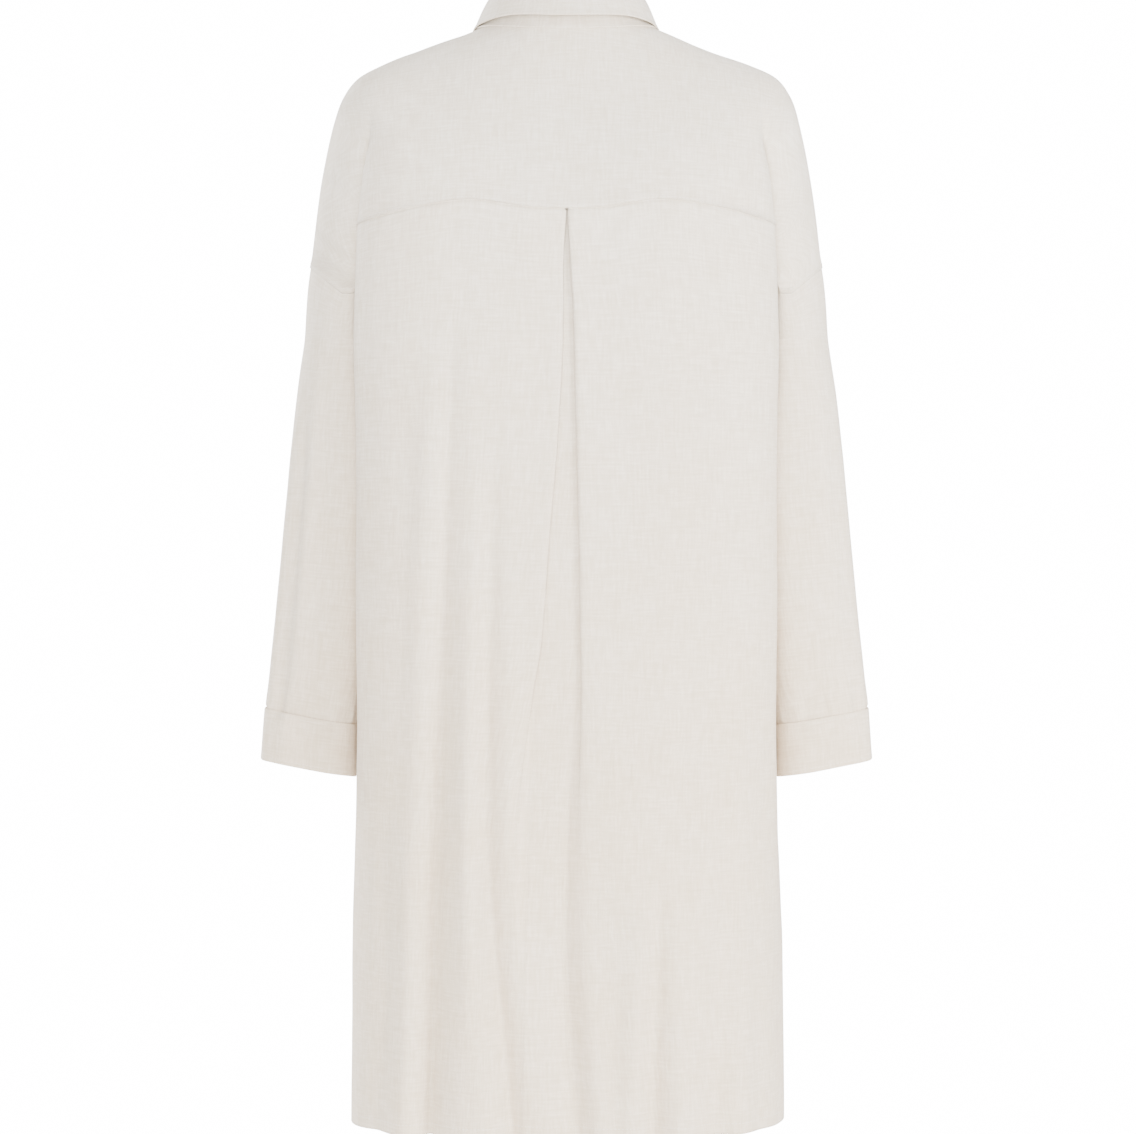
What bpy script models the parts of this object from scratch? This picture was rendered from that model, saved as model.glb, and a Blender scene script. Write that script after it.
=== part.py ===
"""A worn linen shirt dress, seen from its back: yoke, pleated back, two fronts, sleeves, cuffs, collar.

Metres, +Z up. The wearer's back faces -Y and the right hand is at +X. The origin is level with the
side points of the neck, on the middle of the neck opening, where the shoulders carry the dress.
Every panel is a sheet of points on one worked-out surface, and cloth() stands a thin wall about it.
"""

import math

import bmesh
import bpy
import numpy as np
from mathutils import Matrix, Vector
from mathutils.kdtree import KDTree

# Driving dimensions
CLOTH = 0.0012
CUFF_WALL = 0.0020
COLLAR_WALL = 0.0016
SEAM_GAP = 0.0003
TURN_TRIM = 12.0
HEM_Z = -1.042
UNDERARM_Z = -0.300
BUTTON_RADIUS = 0.0058
BUTTON_THICK = 0.0024
PLACKET_WIDTH = 0.030
PLACKET_LAP = 0.004
BUTTON_PITCH = 0.105
BUTTON_COUNT = 8
FIRST_BUTTON_Z = -0.115
PLACKET_LIFT = CLOTH + SEAM_GAP + 0.0004

# Rows of the upper body, from the neck seam to the underarm level
SEAM_ROW = 8
UNDERARM_ROW = 12

# Loops of the upper body: where each one passes the shoulder, the back centre and the front centre
UPPER_COLUMNS = ("row", "side_x", "side_z", "back_y", "back_z", "front_y", "front_z", "power")
UPPER = (
    (0, 0.0820, -0.0010, 0.0680, -0.0100, 0.0740, -0.0750, 2.00),
    (1, 0.1055, -0.0106, 0.0720, -0.0260, 0.0800, -0.0850, 2.05),
    (2, 0.1420, -0.0252, 0.0790, -0.0500, 0.0890, -0.1000, 2.10),
    (3, 0.1760, -0.0373, 0.0870, -0.0770, 0.0990, -0.1160, 2.20),
    (4, 0.2025, -0.0518, 0.0960, -0.1040, 0.1080, -0.1330, 2.35),
    (5, 0.2150, -0.0705, 0.1040, -0.1290, 0.1150, -0.1500, 2.50),
    (6, 0.2245, -0.0970, 0.1100, -0.1500, 0.1210, -0.1680, 2.60),
    (7, 0.2355, -0.1490, 0.1145, -0.1690, 0.1260, -0.1900, 2.60),
    (8, 0.2460, -0.2305, 0.1180, -0.1870, 0.1310, -0.2150, 2.60),
    (12, 0.2525, -0.3000, 0.1220, -0.3000, 0.1360, -0.3000, 2.60),
)

# Sections of the body below the underarm, down to the hem
LOWER_COLUMNS = ("z", "half_width", "back", "front", "side_tuck", "power")
LOWER = (
    (-0.150, 0.2155, 0.114, 0.126, 0.0390, 3.0),
    (-0.300, 0.2155, 0.122, 0.136, 0.0390, 3.0),
    (-0.360, 0.2150, 0.125, 0.139, 0.0405, 3.0),
    (-0.453, 0.2145, 0.128, 0.142, 0.0400, 2.9),
    (-0.549, 0.2135, 0.130, 0.144, 0.0340, 2.9),
    (-0.645, 0.2115, 0.131, 0.145, 0.0240, 2.8),
    (-0.720, 0.2095, 0.131, 0.146, 0.0130, 2.7),
    (-0.800, 0.2070, 0.131, 0.146, 0.0040, 2.6),
    (-0.900, 0.2055, 0.132, 0.147, 0.0000, 2.6),
    (-1.042, 0.2068, 0.133, 0.149, 0.0000, 2.6),
)
TUCK_SPREAD = 0.055
TUCK_FROM_X = 0.10
TUCK_FULL_X = 0.17
# Below this height above the underarm the body's own section no longer changes the upper rows
SECTION_RISE = 0.12
# The hanging folds fade out over this distance from the side seam
SEAM_FADE = 0.05
# Heights across the front, centre to armpit fold, of the row that is level with the yoke seam
FRONT_LEVEL = ((0.0, -0.215), (0.7, -0.230), (1.0, -0.250))
# Height over which a section below the underarm takes on the body's own shape
UNDERARM_BLEND = 0.10

# Rings of the sleeve, from the underarm level to the cuff seam and the cuff's edge
SLEEVE_COLUMNS = ("z", "outer_x", "half_width", "half_depth", "centre_y", "tilt")
SLEEVE = (
    (-0.3000, 0.2525, 0.0380, 0.0500, 0.0080, 0.0000),
    (-0.3600, 0.2607, 0.0405, 0.0505, 0.0070, 0.0020),
    (-0.4530, 0.2698, 0.0445, 0.0500, 0.0070, 0.0040),
    (-0.5490, 0.2794, 0.0465, 0.0470, 0.0100, 0.0060),
    (-0.6200, 0.2866, 0.0462, 0.0435, 0.0140, 0.0075),
    (-0.6605, 0.2905, 0.0418, 0.0385, 0.0170, 0.0085),
    (-0.7105, 0.2948, 0.0440, 0.0405, 0.0210, 0.0092),
)
CUFF_SEAM_Z = -0.6605
CUFF_EDGE_Z = -0.7105
ARM_HALF_WIDTH = 0.038
ARM_HALF_DEPTH = 0.050
ARM_CENTRE_Y = 0.008
FOLD_ANGLE = math.radians(113)

# Height of the yoke seam at the back for each distance from the centre
YOKE_SEAM = ((0.0, -0.1872), (0.03, -0.1860), (0.09, -0.1785), (0.14, -0.1840), (0.20, -0.1970))
# Height of the armhole seam: share of the way round the arm from the back fold to the front fold
ARMHOLE = (
    (0.000, -0.1990),
    (0.035, -0.2230),
    (0.085, -0.2480),
    (0.150, -0.2580),
    (0.220, -0.2465),
    (0.320, -0.2375),
    (0.500, -0.2300),
    (0.680, -0.2440),
    (0.840, -0.2590),
    (1.000, -0.2500),
)
# Above this row the shoulder no longer follows the armhole seam's dip
ARMHOLE_FROM_ROW = 5.0
FRONT_SEAM_SHARE = 0.60
# Distance of the body's cloth from the sleeve's, middle to middle, at the underarm and below it
ARM_CLEAR = (0.0018, 0.0046)
PLAIN_FOLD_ANGLE = math.radians(54)
FOLD_START_ROW = 5.0
FOLD_FULL_ROW = 7.7

# Edges of the centre back pleat and how far it is closed
PLEAT_COLUMNS = ("z", "left_x", "right_x", "closed")
PLEAT = (
    (-0.180, -0.0010, 0.0010, 1.00),
    (-0.235, -0.0035, 0.0045, 1.00),
    (-0.300, -0.0045, 0.0075, 1.00),
    (-0.400, -0.0085, 0.0090, 0.95),
    (-0.510, -0.0160, 0.0100, 0.85),
    (-0.585, -0.0190, 0.0085, 0.70),
    (-0.640, -0.0250, 0.0065, 0.50),
    (-0.730, -0.0360, 0.0035, 0.20),
    (-0.825, -0.0430, 0.0030, 0.00),
    (-0.930, -0.0460, 0.0060, 0.00),
    (-1.042, -0.0490, 0.0140, 0.00),
)
# Half of the pleat's path: distance outward from its edge, and depth, closed and open
PLEAT_PATH_COLUMNS = ("closed_out", "closed_in", "open_out", "open_in")
PLEAT_PATH = (
    (0.0400, 0.0000, 0.040, 0.0000),
    (0.0180, 0.0000, 0.030, 0.0002),
    (0.0040, 0.0000, 0.022, 0.0012),
    (0.0000, 0.0015, 0.016, 0.0027),
    (0.0040, 0.0030, 0.010, 0.0042),
    (0.0140, 0.0030, 0.005, 0.0056),
    (0.0175, 0.0047, 0.000, 0.0069),
    (0.0140, 0.0064, -0.004, 0.0079),
    (0.0040, 0.0064, -0.008, 0.0086),
)
PLEAT_FLOOR_CLOSED = 0.0064
PLEAT_FLOOR_OPEN = 0.0090

# Hanging folds: side (-1 back, 1 front), x where it starts, x at the hem, z of its start, depth, width
FOLD_COLUMNS = ("side", "x_start", "x_hem", "z_start", "depth", "width")
FOLDS = (
    (-1, -0.110, -0.129, -0.26, 0.0150, 0.016),
    (-1, -0.069, -0.056, -0.40, 0.0070, 0.014),
    (-1, -0.178, -0.180, -0.86, 0.0050, 0.010),
    (-1, 0.085, 0.076, -0.78, 0.0080, 0.014),
    (-1, 0.147, 0.134, -0.66, 0.0080, 0.015),
    (-1, 0.040, 0.046, -0.72, 0.0035, 0.012),
    (1, -0.062, -0.074, -0.36, 0.0090, 0.018),
    (1, 0.068, 0.060, -0.40, 0.0080, 0.018),
    (1, -0.140, -0.136, -0.46, 0.0085, 0.016),
    (1, 0.132, 0.142, -0.42, 0.0090, 0.017),
)
# Creases down the sleeve: angle round it, depth at the cuff seam and at the elbow, width in angle
SLEEVE_CREASE_COLUMNS = ("angle", "cuff_depth", "elbow_depth", "width")
SLEEVE_CREASES = (
    (math.radians(38), 0.0035, 0.0025, math.radians(16)),
    (math.radians(112), 0.0030, 0.0015, math.radians(18)),
    (math.radians(-60), 0.0030, 0.0020, math.radians(18)),
    (math.radians(-135), 0.0025, 0.0025, math.radians(20)),
)

# Half loops of the collar, back centre to front: the stand's top, the roll's top and the fall's edge
STAND_TOP = (
    (0.000, -0.0540, 0.0290),
    (0.040, -0.0430, 0.0285),
    (0.0640, -0.0060, 0.0270),
    (0.0610, 0.0260, 0.0100),
    (0.0430, 0.0500, -0.0210),
    (0.0200, 0.0610, -0.0420),
    (0.0000, 0.0640, -0.0480),
)
ROLL_TOP = (
    (0.000, -0.0575, 0.0360),
    (0.0430, -0.0460, 0.0360),
    (0.0680, -0.0060, 0.0345),
    (0.0650, 0.0280, 0.0175),
    (0.0460, 0.0535, -0.0130),
    (0.0130, 0.0670, -0.0390),
)
FALL_EDGE = (
    (0.000, -0.0830, -0.0028),
    (0.0600, -0.0610, 0.0020),
    (0.0890, -0.0080, 0.0012),
    (0.0930, 0.0400, -0.0200),
    (0.0820, 0.0830, -0.0700),
    (0.0560, 0.1000, -0.1030),
)

# Columns of the panels: shares of the half torso and of the way over the arm, and rows and levels
TORSO_SHARES = np.array([0, 0.1, 0.2, 0.3, 0.4, 0.5, 0.6, 0.69, 0.77, 0.83, 0.88, 0.92, 0.96, 1.0])
ARM_SHARES = np.array(
    [0, 0.035, 0.085, 0.15, 0.22, 0.3, 0.4, 0.5, FRONT_SEAM_SHARE, 0.7, 0.8, 0.9, 0.96, 1.0]
)
ARM_BACK = ARM_SHARES[ARM_SHARES <= FRONT_SEAM_SHARE]
ARM_FRONT = ARM_SHARES[ARM_SHARES >= FRONT_SEAM_SHARE]
BACK_SHARES = np.array([0, 0.13, 0.26, 0.38, 0.49, 0.59, 0.68, 0.76, 0.83, 0.89, 0.95, 1.0])
FRONT_SHARES = np.array([0, 0.11, 0.22, 0.33, 0.44, 0.55, 0.65, 0.74, 0.82, 0.88, 0.94, 1.0])
FRONT_START = 0.024
SIDE_COLUMNS = 5
UPPER_ROWS = np.array([0, 1, 2, 3, 4, 5, 6, 6.7, 7.2, 7.6, SEAM_ROW])
FOLD_ROWS = np.arange(SEAM_ROW, UNDERARM_ROW + 1)
LOWER_LEVELS = np.concatenate([[UNDERARM_Z, -0.325, -0.355, -0.390], np.linspace(-0.430, HEM_Z, 16)])
SLEEVE_LEVELS = np.concatenate([[UNDERARM_Z, -0.325, -0.36], np.linspace(-0.40, CUFF_SEAM_Z, 10)])
INNER_ARM_COLUMNS = 5
CUFF_COLUMNS = 28
CUFF_ROWS = 4

# Collar: columns of its half loops, the stand's gap over the neck seam, its lap in front and its step
STAND_SHARES = np.linspace(0, 1, 15)
FALL_SHARES = np.linspace(0, 1, 14)
FALL_ROWS = (0.12, 0.35, 0.6, 0.82, 1.0)
FALL_BOW = 0.0035
STAND_LIFT = 0.0010
STAND_LAP = 0.0145
STAND_LAP_IN = 0.0010
STAND_LAP_UP = 0.0026
STAND_STEP = 0.0012
BUTTON_LIFT = 0.0006
BUTTON_RIM = 0.0006

LINEN = (0.795, 0.765, 0.715, 1.0)
BUTTON_SHELL = (0.80, 0.77, 0.70, 1.0)


def smooth(xs, ys, at):
    """A curve through the points (xs, ys) with no overshoot, read at the places at."""
    xs, ys = np.asarray(xs, float), np.asarray(ys, float)
    if xs[0] > xs[-1]:
        xs, ys = xs[::-1], ys[::-1]
    step = np.diff(xs)
    slope = np.diff(ys) / step
    tangent = np.zeros(len(xs))
    tangent[0], tangent[-1] = slope[0], slope[-1]
    for i in range(1, len(xs) - 1):
        if slope[i - 1] * slope[i] > 0:
            a, b = 2 * step[i] + step[i - 1], step[i] + 2 * step[i - 1]
            tangent[i] = (a + b) / (a / slope[i - 1] + b / slope[i])
    at = np.clip(np.asarray(at, float), xs[0], xs[-1])
    i = np.clip(np.searchsorted(xs, at) - 1, 0, len(xs) - 2)
    t = (at - xs[i]) / step[i]
    return (
        ys[i] * (2 * t**3 - 3 * t**2 + 1)
        + ys[i + 1] * (3 * t**2 - 2 * t**3)
        + tangent[i] * step[i] * (t**3 - 2 * t**2 + t)
        + tangent[i + 1] * step[i] * (t**3 - t**2)
    )


def read(table, columns, name, at):
    """One named column of a table of rows, read at a value of the table's first column."""
    place = columns.index(name)
    return smooth([row[0] for row in table], [row[place] for row in table], at)


def ease(value, low, high):
    """0 below low, 1 above high and smooth between."""
    t = np.clip((np.asarray(value, float) - low) / (high - low), 0, 1)
    return t * t * (3 - 2 * t)


def share_along(curve, shares):
    """Points of a polyline at the given shares of its length."""
    reach = np.concatenate([[0], np.cumsum(np.linalg.norm(np.diff(curve, axis=0), axis=1))])
    at = np.asarray(shares, float) * reach[-1]
    return np.stack([np.interp(at, reach, curve[:, k]) for k in range(curve.shape[1])], axis=1)


def oval(half_width, back, front, power, angles):
    """A superellipse: angle 0 is the back centre, a quarter turn the side, half a turn the front."""
    x = half_width * np.abs(np.sin(angles)) ** (2 / power)
    reach = np.abs(np.cos(angles)) ** (2 / power)
    y = np.where(np.cos(angles) >= 0, -back * reach, front * reach)
    return np.stack([x, y], axis=1)


def arm_ring(
    outer_x, angles, half_width=ARM_HALF_WIDTH, half_depth=ARM_HALF_DEPTH, centre_y=ARM_CENTRE_Y
):
    """The arm's ellipse: angle 0 points outward, a quarter turn to the back."""
    x = outer_x - half_width + half_width * np.cos(angles)
    y = centre_y - half_depth * np.sin(angles)
    return np.stack([x, y], axis=1)


def body_loop(z):
    """Half of the body's own section at height z: an oval pressed in where the arm hangs beside it."""
    half_width, back, front, tuck, power = (
        float(read(LOWER, LOWER_COLUMNS, column, z)) for column in LOWER_COLUMNS[1:]
    )
    loop = oval(half_width, back, front, power, np.linspace(0, math.pi, 721))
    press = tuck * np.exp(-(((loop[:, 1] - ARM_CENTRE_Y) / TUCK_SPREAD) ** 2))
    loop[:, 0] = np.maximum(loop[:, 0] - press * ease(loop[:, 0], TUCK_FROM_X, TUCK_FULL_X), 0)
    return loop


def fold_points(outer_x):
    """Bottoms of the back and front armpit folds, on the arm's ellipse."""
    return arm_ring(outer_x, np.array([FOLD_ANGLE, -FOLD_ANGLE]))


def half_torso(row, front):
    """Polyline from the body's back or front centre to the armpit fold, at a row of the upper body."""
    side_x, back_y, front_y, power = (
        float(read(UPPER, UPPER_COLUMNS, c, row)) for c in ("side_x", "back_y", "front_y", "power")
    )
    turn = np.linspace(0, PLAIN_FOLD_ANGLE, 241)
    plain = oval(side_x, back_y, front_y, power, math.pi - turn if front else turn)
    z = float(read(UPPER, UPPER_COLUMNS, "front_z" if front else "back_z", row))
    loop = body_loop(min(z, UNDERARM_Z + SECTION_RISE))
    depth = (front_y if front else back_y) / np.abs(loop[-1 if front else 0, 1])
    loop[:, 1] *= depth
    fold = fold_points(side_x)[1 if front else 0]
    if front:
        folded = loop[::-1][loop[::-1, 1] >= fold[1]]
    else:
        folded = loop[loop[:, 1] <= fold[1]]
    folded = share_along(folded, np.linspace(0, 1, 241))
    pull = (np.linspace(0, 1, 241) ** 10)[:, None]
    folded = folded + (fold - folded[-1]) * pull
    plain = share_along(plain, np.linspace(0, 1, 241))
    weight = float(ease(row, FOLD_START_ROW, FOLD_FULL_ROW))
    return plain * (1 - weight) + folded * weight


def half_arm(row):
    """Polyline over the arm, from the back armpit fold past the outside to the front one."""
    side_x, back_y, front_y, power = (
        float(read(UPPER, UPPER_COLUMNS, c, row)) for c in ("side_x", "back_y", "front_y", "power")
    )
    turn = np.linspace(PLAIN_FOLD_ANGLE, math.pi - PLAIN_FOLD_ANGLE, 241)
    plain = share_along(oval(side_x, back_y, front_y, power, turn), np.linspace(0, 1, 241))
    folded = arm_ring(side_x, np.linspace(FOLD_ANGLE, -FOLD_ANGLE, 241))
    weight = float(ease(row, FOLD_START_ROW, FOLD_FULL_ROW))
    return plain * (1 - weight) + folded * weight


def upper_heights(points, row, seam_z, front):
    """Heights of a row's points: from the neck seam, by share, down to the yoke or armhole seam."""
    side_x = float(read(UPPER, UPPER_COLUMNS, "side_x", row))
    middle = "front_z" if front else "back_z"
    beside = np.clip(np.abs(points[:, 0]) / side_x, 0, 1) ** 2

    def level(name, at):
        return float(read(UPPER, UPPER_COLUMNS, name, at))

    neck = level("side_z", 0) * beside + level(middle, 0) * (1 - beside)
    capped = min(row, SEAM_ROW)

    def share_down(name):
        return (level(name, capped) - level(name, 0)) / (level(name, SEAM_ROW) - level(name, 0))

    share = share_down("side_z") * beside + share_down(middle) * (1 - beside)
    z = neck + (seam_z - neck) * share
    below = max(row - SEAM_ROW, 0) / (UNDERARM_ROW - SEAM_ROW)
    return z * (1 - below) + UNDERARM_Z * below


def torso_seam_heights(shares, front):
    """Where the yoke seam (back) or the row level with it (front) runs, for shares of the half torso."""
    if front:
        return smooth([p[0] for p in FRONT_LEVEL], [p[1] for p in FRONT_LEVEL], shares)
    x = share_along(half_torso(SEAM_ROW, False), shares)[:, 0]
    on_back = smooth([p[0] for p in YOKE_SEAM], [p[1] for p in YOKE_SEAM], x)
    into_fold = ease(shares, 0.93, 1.0)
    return on_back * (1 - into_fold) + ARMHOLE[0][1] * into_fold


def armhole_heights(shares, row):
    """The armhole seam's height for a row: its own curve near it, and a plain slope over the shoulder."""
    seam = smooth([p[0] for p in ARMHOLE], [p[1] for p in ARMHOLE], shares)
    back, outside, front = (float(np.interp(share, *zip(*ARMHOLE))) for share in (0.0, 0.5, 1.0))
    plain = back + (outside - back) * ease(shares, 0.0, 0.5) + (front - outside) * ease(shares, 0.5, 1.0)
    weight = float(ease(row, ARMHOLE_FROM_ROW, SEAM_ROW))
    return plain * (1 - weight) + seam * weight


def hanging_folds(points, side):
    """Pushes a body panel in along its hanging folds. points is an array of x, y, z."""
    moved = points.copy()
    from_seam = ease(np.abs(points[:, 1] - ARM_CENTRE_Y), 0.0, SEAM_FADE)
    for row in FOLDS:
        fold = dict(zip(FOLD_COLUMNS, row))
        if fold["side"] != side:
            continue
        down = np.clip((points[:, 2] - fold["z_start"]) / (HEM_Z - fold["z_start"]), 0, 1)
        x = fold["x_start"] + (fold["x_hem"] - fold["x_start"]) * down
        depth = fold["depth"] * down**0.7
        spread = fold["width"] * (0.7 + 0.5 * down)
        away = (points[:, 0] - x) / spread
        shape = np.exp(-(away**2)) - 0.45 * np.exp(-((np.abs(away) - 1.9) ** 2))
        moved[:, 1] -= side * depth * shape * from_seam
    return moved


def torso_rows(row, shares, front):
    """Points of one row of the back or front half torso, on the +X side."""
    flat = share_along(half_torso(min(row, UNDERARM_ROW), front), shares)
    z = upper_heights(flat, row, torso_seam_heights(shares, front), front)
    return np.column_stack([flat, z])


def clear_of_arm(line, z):
    """Keeps a section of the body clear of the sleeve that hangs beside it."""
    values = {c: float(read(SLEEVE, SLEEVE_COLUMNS, c, z)) for c in SLEEVE_COLUMNS[1:]}
    clear = ARM_CLEAR[0] + (ARM_CLEAR[1] - ARM_CLEAR[0]) * float(ease(z, UNDERARM_Z, UNDERARM_Z - 0.04))
    centre = values["outer_x"] - values["half_width"]
    away = (line[:, 1] - values["centre_y"]) / (values["half_depth"] + clear)
    reach = (values["half_width"] + clear) * np.sqrt(np.clip(1 - away**2, 0, None))
    limit = np.where(np.abs(away) < 1, centre - reach, 9.0)
    return np.column_stack([np.minimum(line[:, 0], limit), line[:, 1]])


def lower_half_section(z, front):
    """Half of the body below the underarm, centre to side seam, with the underarm's shape kept near it."""
    own = body_loop(z)
    own = own[::-1] if front else own
    own = own[own[:, 1] >= ARM_CENTRE_Y] if front else own[own[:, 1] <= ARM_CENTRE_Y]
    torso = half_torso(UNDERARM_ROW, front)
    turn = np.linspace(FOLD_ANGLE, math.pi, 61)
    arch = arm_ring(float(read(UPPER, UPPER_COLUMNS, "side_x", UNDERARM_ROW)), -turn if front else turn)
    at_underarm = np.concatenate([torso, arch[1:]])
    length = np.linalg.norm(np.diff(torso, axis=0), axis=1).sum()
    whole = np.linalg.norm(np.diff(at_underarm, axis=0), axis=1).sum()
    shares = np.linspace(0, 1, 361)
    weight = float(ease(z, UNDERARM_Z, UNDERARM_Z - UNDERARM_BLEND))
    mixed = share_along(at_underarm, shares) * (1 - weight) + share_along(own, shares) * weight
    return clear_of_arm(mixed, z), length / whole


def sleeve_ring(z, angles, side):
    """A ring of the sleeve or cuff: an ellipse with its own tilt, width and soft creases."""
    values = {c: float(read(SLEEVE, SLEEVE_COLUMNS, c, z)) for c in SLEEVE_COLUMNS[1:]}
    ring = arm_ring(
        values["outer_x"], angles, values["half_width"], values["half_depth"], values["centre_y"]
    )
    centre = np.array([values["outer_x"] - values["half_width"], values["centre_y"]])
    down = ease(z, UNDERARM_Z - 0.05, CUFF_SEAM_Z)
    on_sleeve = 1 - 0.75 * ease(z, CUFF_SEAM_Z + 0.004, CUFF_SEAM_Z - 0.012)
    push = np.zeros(len(angles))
    for row in SLEEVE_CREASES:
        crease = dict(zip(SLEEVE_CREASE_COLUMNS, row))
        away = np.angle(np.exp(1j * (angles - crease["angle"]))) / crease["width"]
        depth = crease["elbow_depth"] * ease(z, UNDERARM_Z - 0.02, UNDERARM_Z - 0.14) * (1 - down)
        depth = depth + crease["cuff_depth"] * down
        push += depth * np.exp(-(away**2))
    ring = centre + (ring - centre) * (1 - on_sleeve * push / values["half_width"])[:, None]
    height = z + values["tilt"] * np.cos(angles)
    return np.column_stack([side * ring[:, 0], ring[:, 1], height])


def quads(rows, columns, start, closed=False):
    """Faces of a grid of points stored row by row."""
    faces = []
    for r in range(rows - 1):
        for c in range(columns if closed else columns - 1):
            d = (c + 1) % columns
            here, below = start + r * columns, start + (r + 1) * columns
            faces.append((here + c, here + d, below + d, below + c))
    return faces


def material(name, colour, roughness):
    made = bpy.data.materials.new(name)
    made.use_nodes = True
    shader = made.node_tree.nodes["Principled BSDF"]
    shader.inputs["Base Color"].default_value = colour
    shader.inputs["Roughness"].default_value = roughness
    shader.inputs["Metallic"].default_value = 0.0
    return made


def joined_sheet(grids):
    """One open sheet from grids of points, with the columns and rows that they share welded."""
    points, faces = [], []
    for grid, closed in grids:
        rows, columns = grid.shape[:2]
        faces += quads(rows, columns, len(points), closed)
        points += [tuple(p) for p in grid.reshape(-1, 3)]
    mesh = bpy.data.meshes.new("sheet")
    mesh.from_pydata(points, [], faces)
    sheet = bmesh.new()
    sheet.from_mesh(mesh)
    bpy.data.meshes.remove(mesh)
    bmesh.ops.remove_doubles(sheet, verts=sheet.verts, dist=2e-5)
    bmesh.ops.recalc_face_normals(sheet, faces=sheet.faces)
    sheet.normal_update()
    return sheet


def facing_lookup(grids):
    """Outward directions of the sheet that several panels make together, to look up by place."""
    sheet = joined_sheet(grids)
    tree = KDTree(len(sheet.verts))
    facings = []
    for i, vertex in enumerate(sheet.verts):
        tree.insert(vertex.co, i)
        facings.append(vertex.normal.copy())
    tree.balance()
    sheet.free()
    return tree, facings


def trimmed_places(sheet, facing, distance):
    """Places of a sheet's points with every open edge drawn back by distance, for the seam gaps.

    Where the wall's direction turns quickly from point to point, the edge is drawn back further.
    """
    places = {}
    for vertex in sheet.verts:
        places[vertex] = vertex.co.copy()
        if not vertex.is_boundary:
            continue
        squares, turn = [], 0.0
        for edge in vertex.link_edges:
            if not edge.is_boundary:
                continue
            turn = max(turn, 1 - facing[vertex].dot(facing[edge.other_vert(vertex)]))
            run = (edge.other_vert(vertex).co - vertex.co).normalized()
            inward = edge.link_faces[0].calc_center_median() - vertex.co
            squares.append((inward - run * inward.dot(run)).normalized())
        meet = max(1 + squares[0].dot(squares[-1]), 0.15)
        places[vertex] += (squares[0] + squares[-1]) * (distance * (1 + TURN_TRIM * turn) / meet)
    return places


def cloth(name, grids, wall, finish, lookup=None):
    """One cloth piece: a wall about its grids of mid-surface points, drawn back a little at its seams.

    The wall stands on the outward directions of lookup, so the ends of two panels at a seam are parallel.
    """
    tree, facings = lookup or facing_lookup(grids)
    sheet = joined_sheet(grids)
    facing = {vertex: facings[tree.find(vertex.co)[1]] for vertex in sheet.verts}
    places = trimmed_places(sheet, facing, SEAM_GAP * 0.6)
    count = len(sheet.verts)
    outer, inner = [], []
    agree = 0.0
    for vertex in sheet.verts:
        agree += facing[vertex].dot(vertex.normal)
        outer.append(places[vertex] + facing[vertex] * wall / 2)
        inner.append(places[vertex] - facing[vertex] * wall / 2)
    if agree < 0:
        bmesh.ops.reverse_faces(sheet, faces=sheet.faces)
    sheet.verts.index_update()
    faces = [[v.index for v in face.verts] for face in sheet.faces]
    rims = []
    for edge in sheet.edges:
        if not edge.is_boundary:
            continue
        loop = edge.link_loops[0]
        here, ahead = loop.vert.index, loop.link_loop_next.vert.index
        rims.append((ahead, here, here + count, ahead + count))
    sheet.free()
    backs = [[i + count for i in reversed(face)] for face in faces]
    mesh = bpy.data.meshes.new(name)
    mesh.from_pydata(outer + inner, [], faces + backs + rims)
    mesh.materials.append(finish)
    mesh.shade_smooth()
    piece = bpy.data.objects.new(name, mesh)
    bpy.context.scene.collection.objects.link(piece)
    return piece


def mirrored(points):
    return points * np.array([-1.0, 1.0, 1.0])


def arm_rows(rows, shares, side):
    """Grid over the arm between rows of the upper body, for shares of the way round it."""
    grid = []
    for row in rows:
        flat = share_along(half_arm(row), shares)
        seam = armhole_heights(shares, row)
        back_half, front_half = (upper_heights(flat, row, seam, front) for front in (False, True))
        z = np.where(flat[:, 1] > 0, front_half, back_half)
        grid.append(np.column_stack([side * flat[:, 0], flat[:, 1], z]))
    return np.array(grid)


def yoke_grids():
    """Neck to the yoke seam across the back, over both shoulders, to the shoulder seams in front."""
    half = np.array([torso_rows(row, TORSO_SHARES, False) for row in UPPER_ROWS])
    back = np.concatenate([mirrored(half)[:, ::-1], half[:, 1:]], axis=1)
    sides = [(arm_rows(UPPER_ROWS, ARM_BACK, side), False) for side in (-1, 1)]
    return [(back, False)] + sides


def side_rows(levels, front, side):
    """Grid between the armpit fold's column and the side seam, below the underarm."""
    grid = []
    for z in levels:
        section, split = lower_half_section(z, front)
        shares = np.linspace(split, 1, SIDE_COLUMNS)
        grid.append(np.column_stack([share_along(section, shares), np.full(SIDE_COLUMNS, z)]))
    grid = np.array(grid)
    grid[:, :, 0] *= side
    return grid


def with_folds(grid, side):
    return hanging_folds(grid.reshape(-1, 3), side).reshape(grid.shape)


def pleat_offsets(z, side):
    """x and depth of half of the pleat at height z, from its outer start to the last point of its floor."""
    edge = float(read(PLEAT, PLEAT_COLUMNS, "left_x" if side < 0 else "right_x", z))
    closed = float(read(PLEAT, PLEAT_COLUMNS, "closed", z))
    path = dict(zip(PLEAT_PATH_COLUMNS, np.array(PLEAT_PATH).T))
    out = path["closed_out"] * closed + path["open_out"] * (1 - closed)
    deep = path["closed_in"] * closed + path["open_in"] * (1 - closed)
    return edge + side * out, deep


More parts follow.
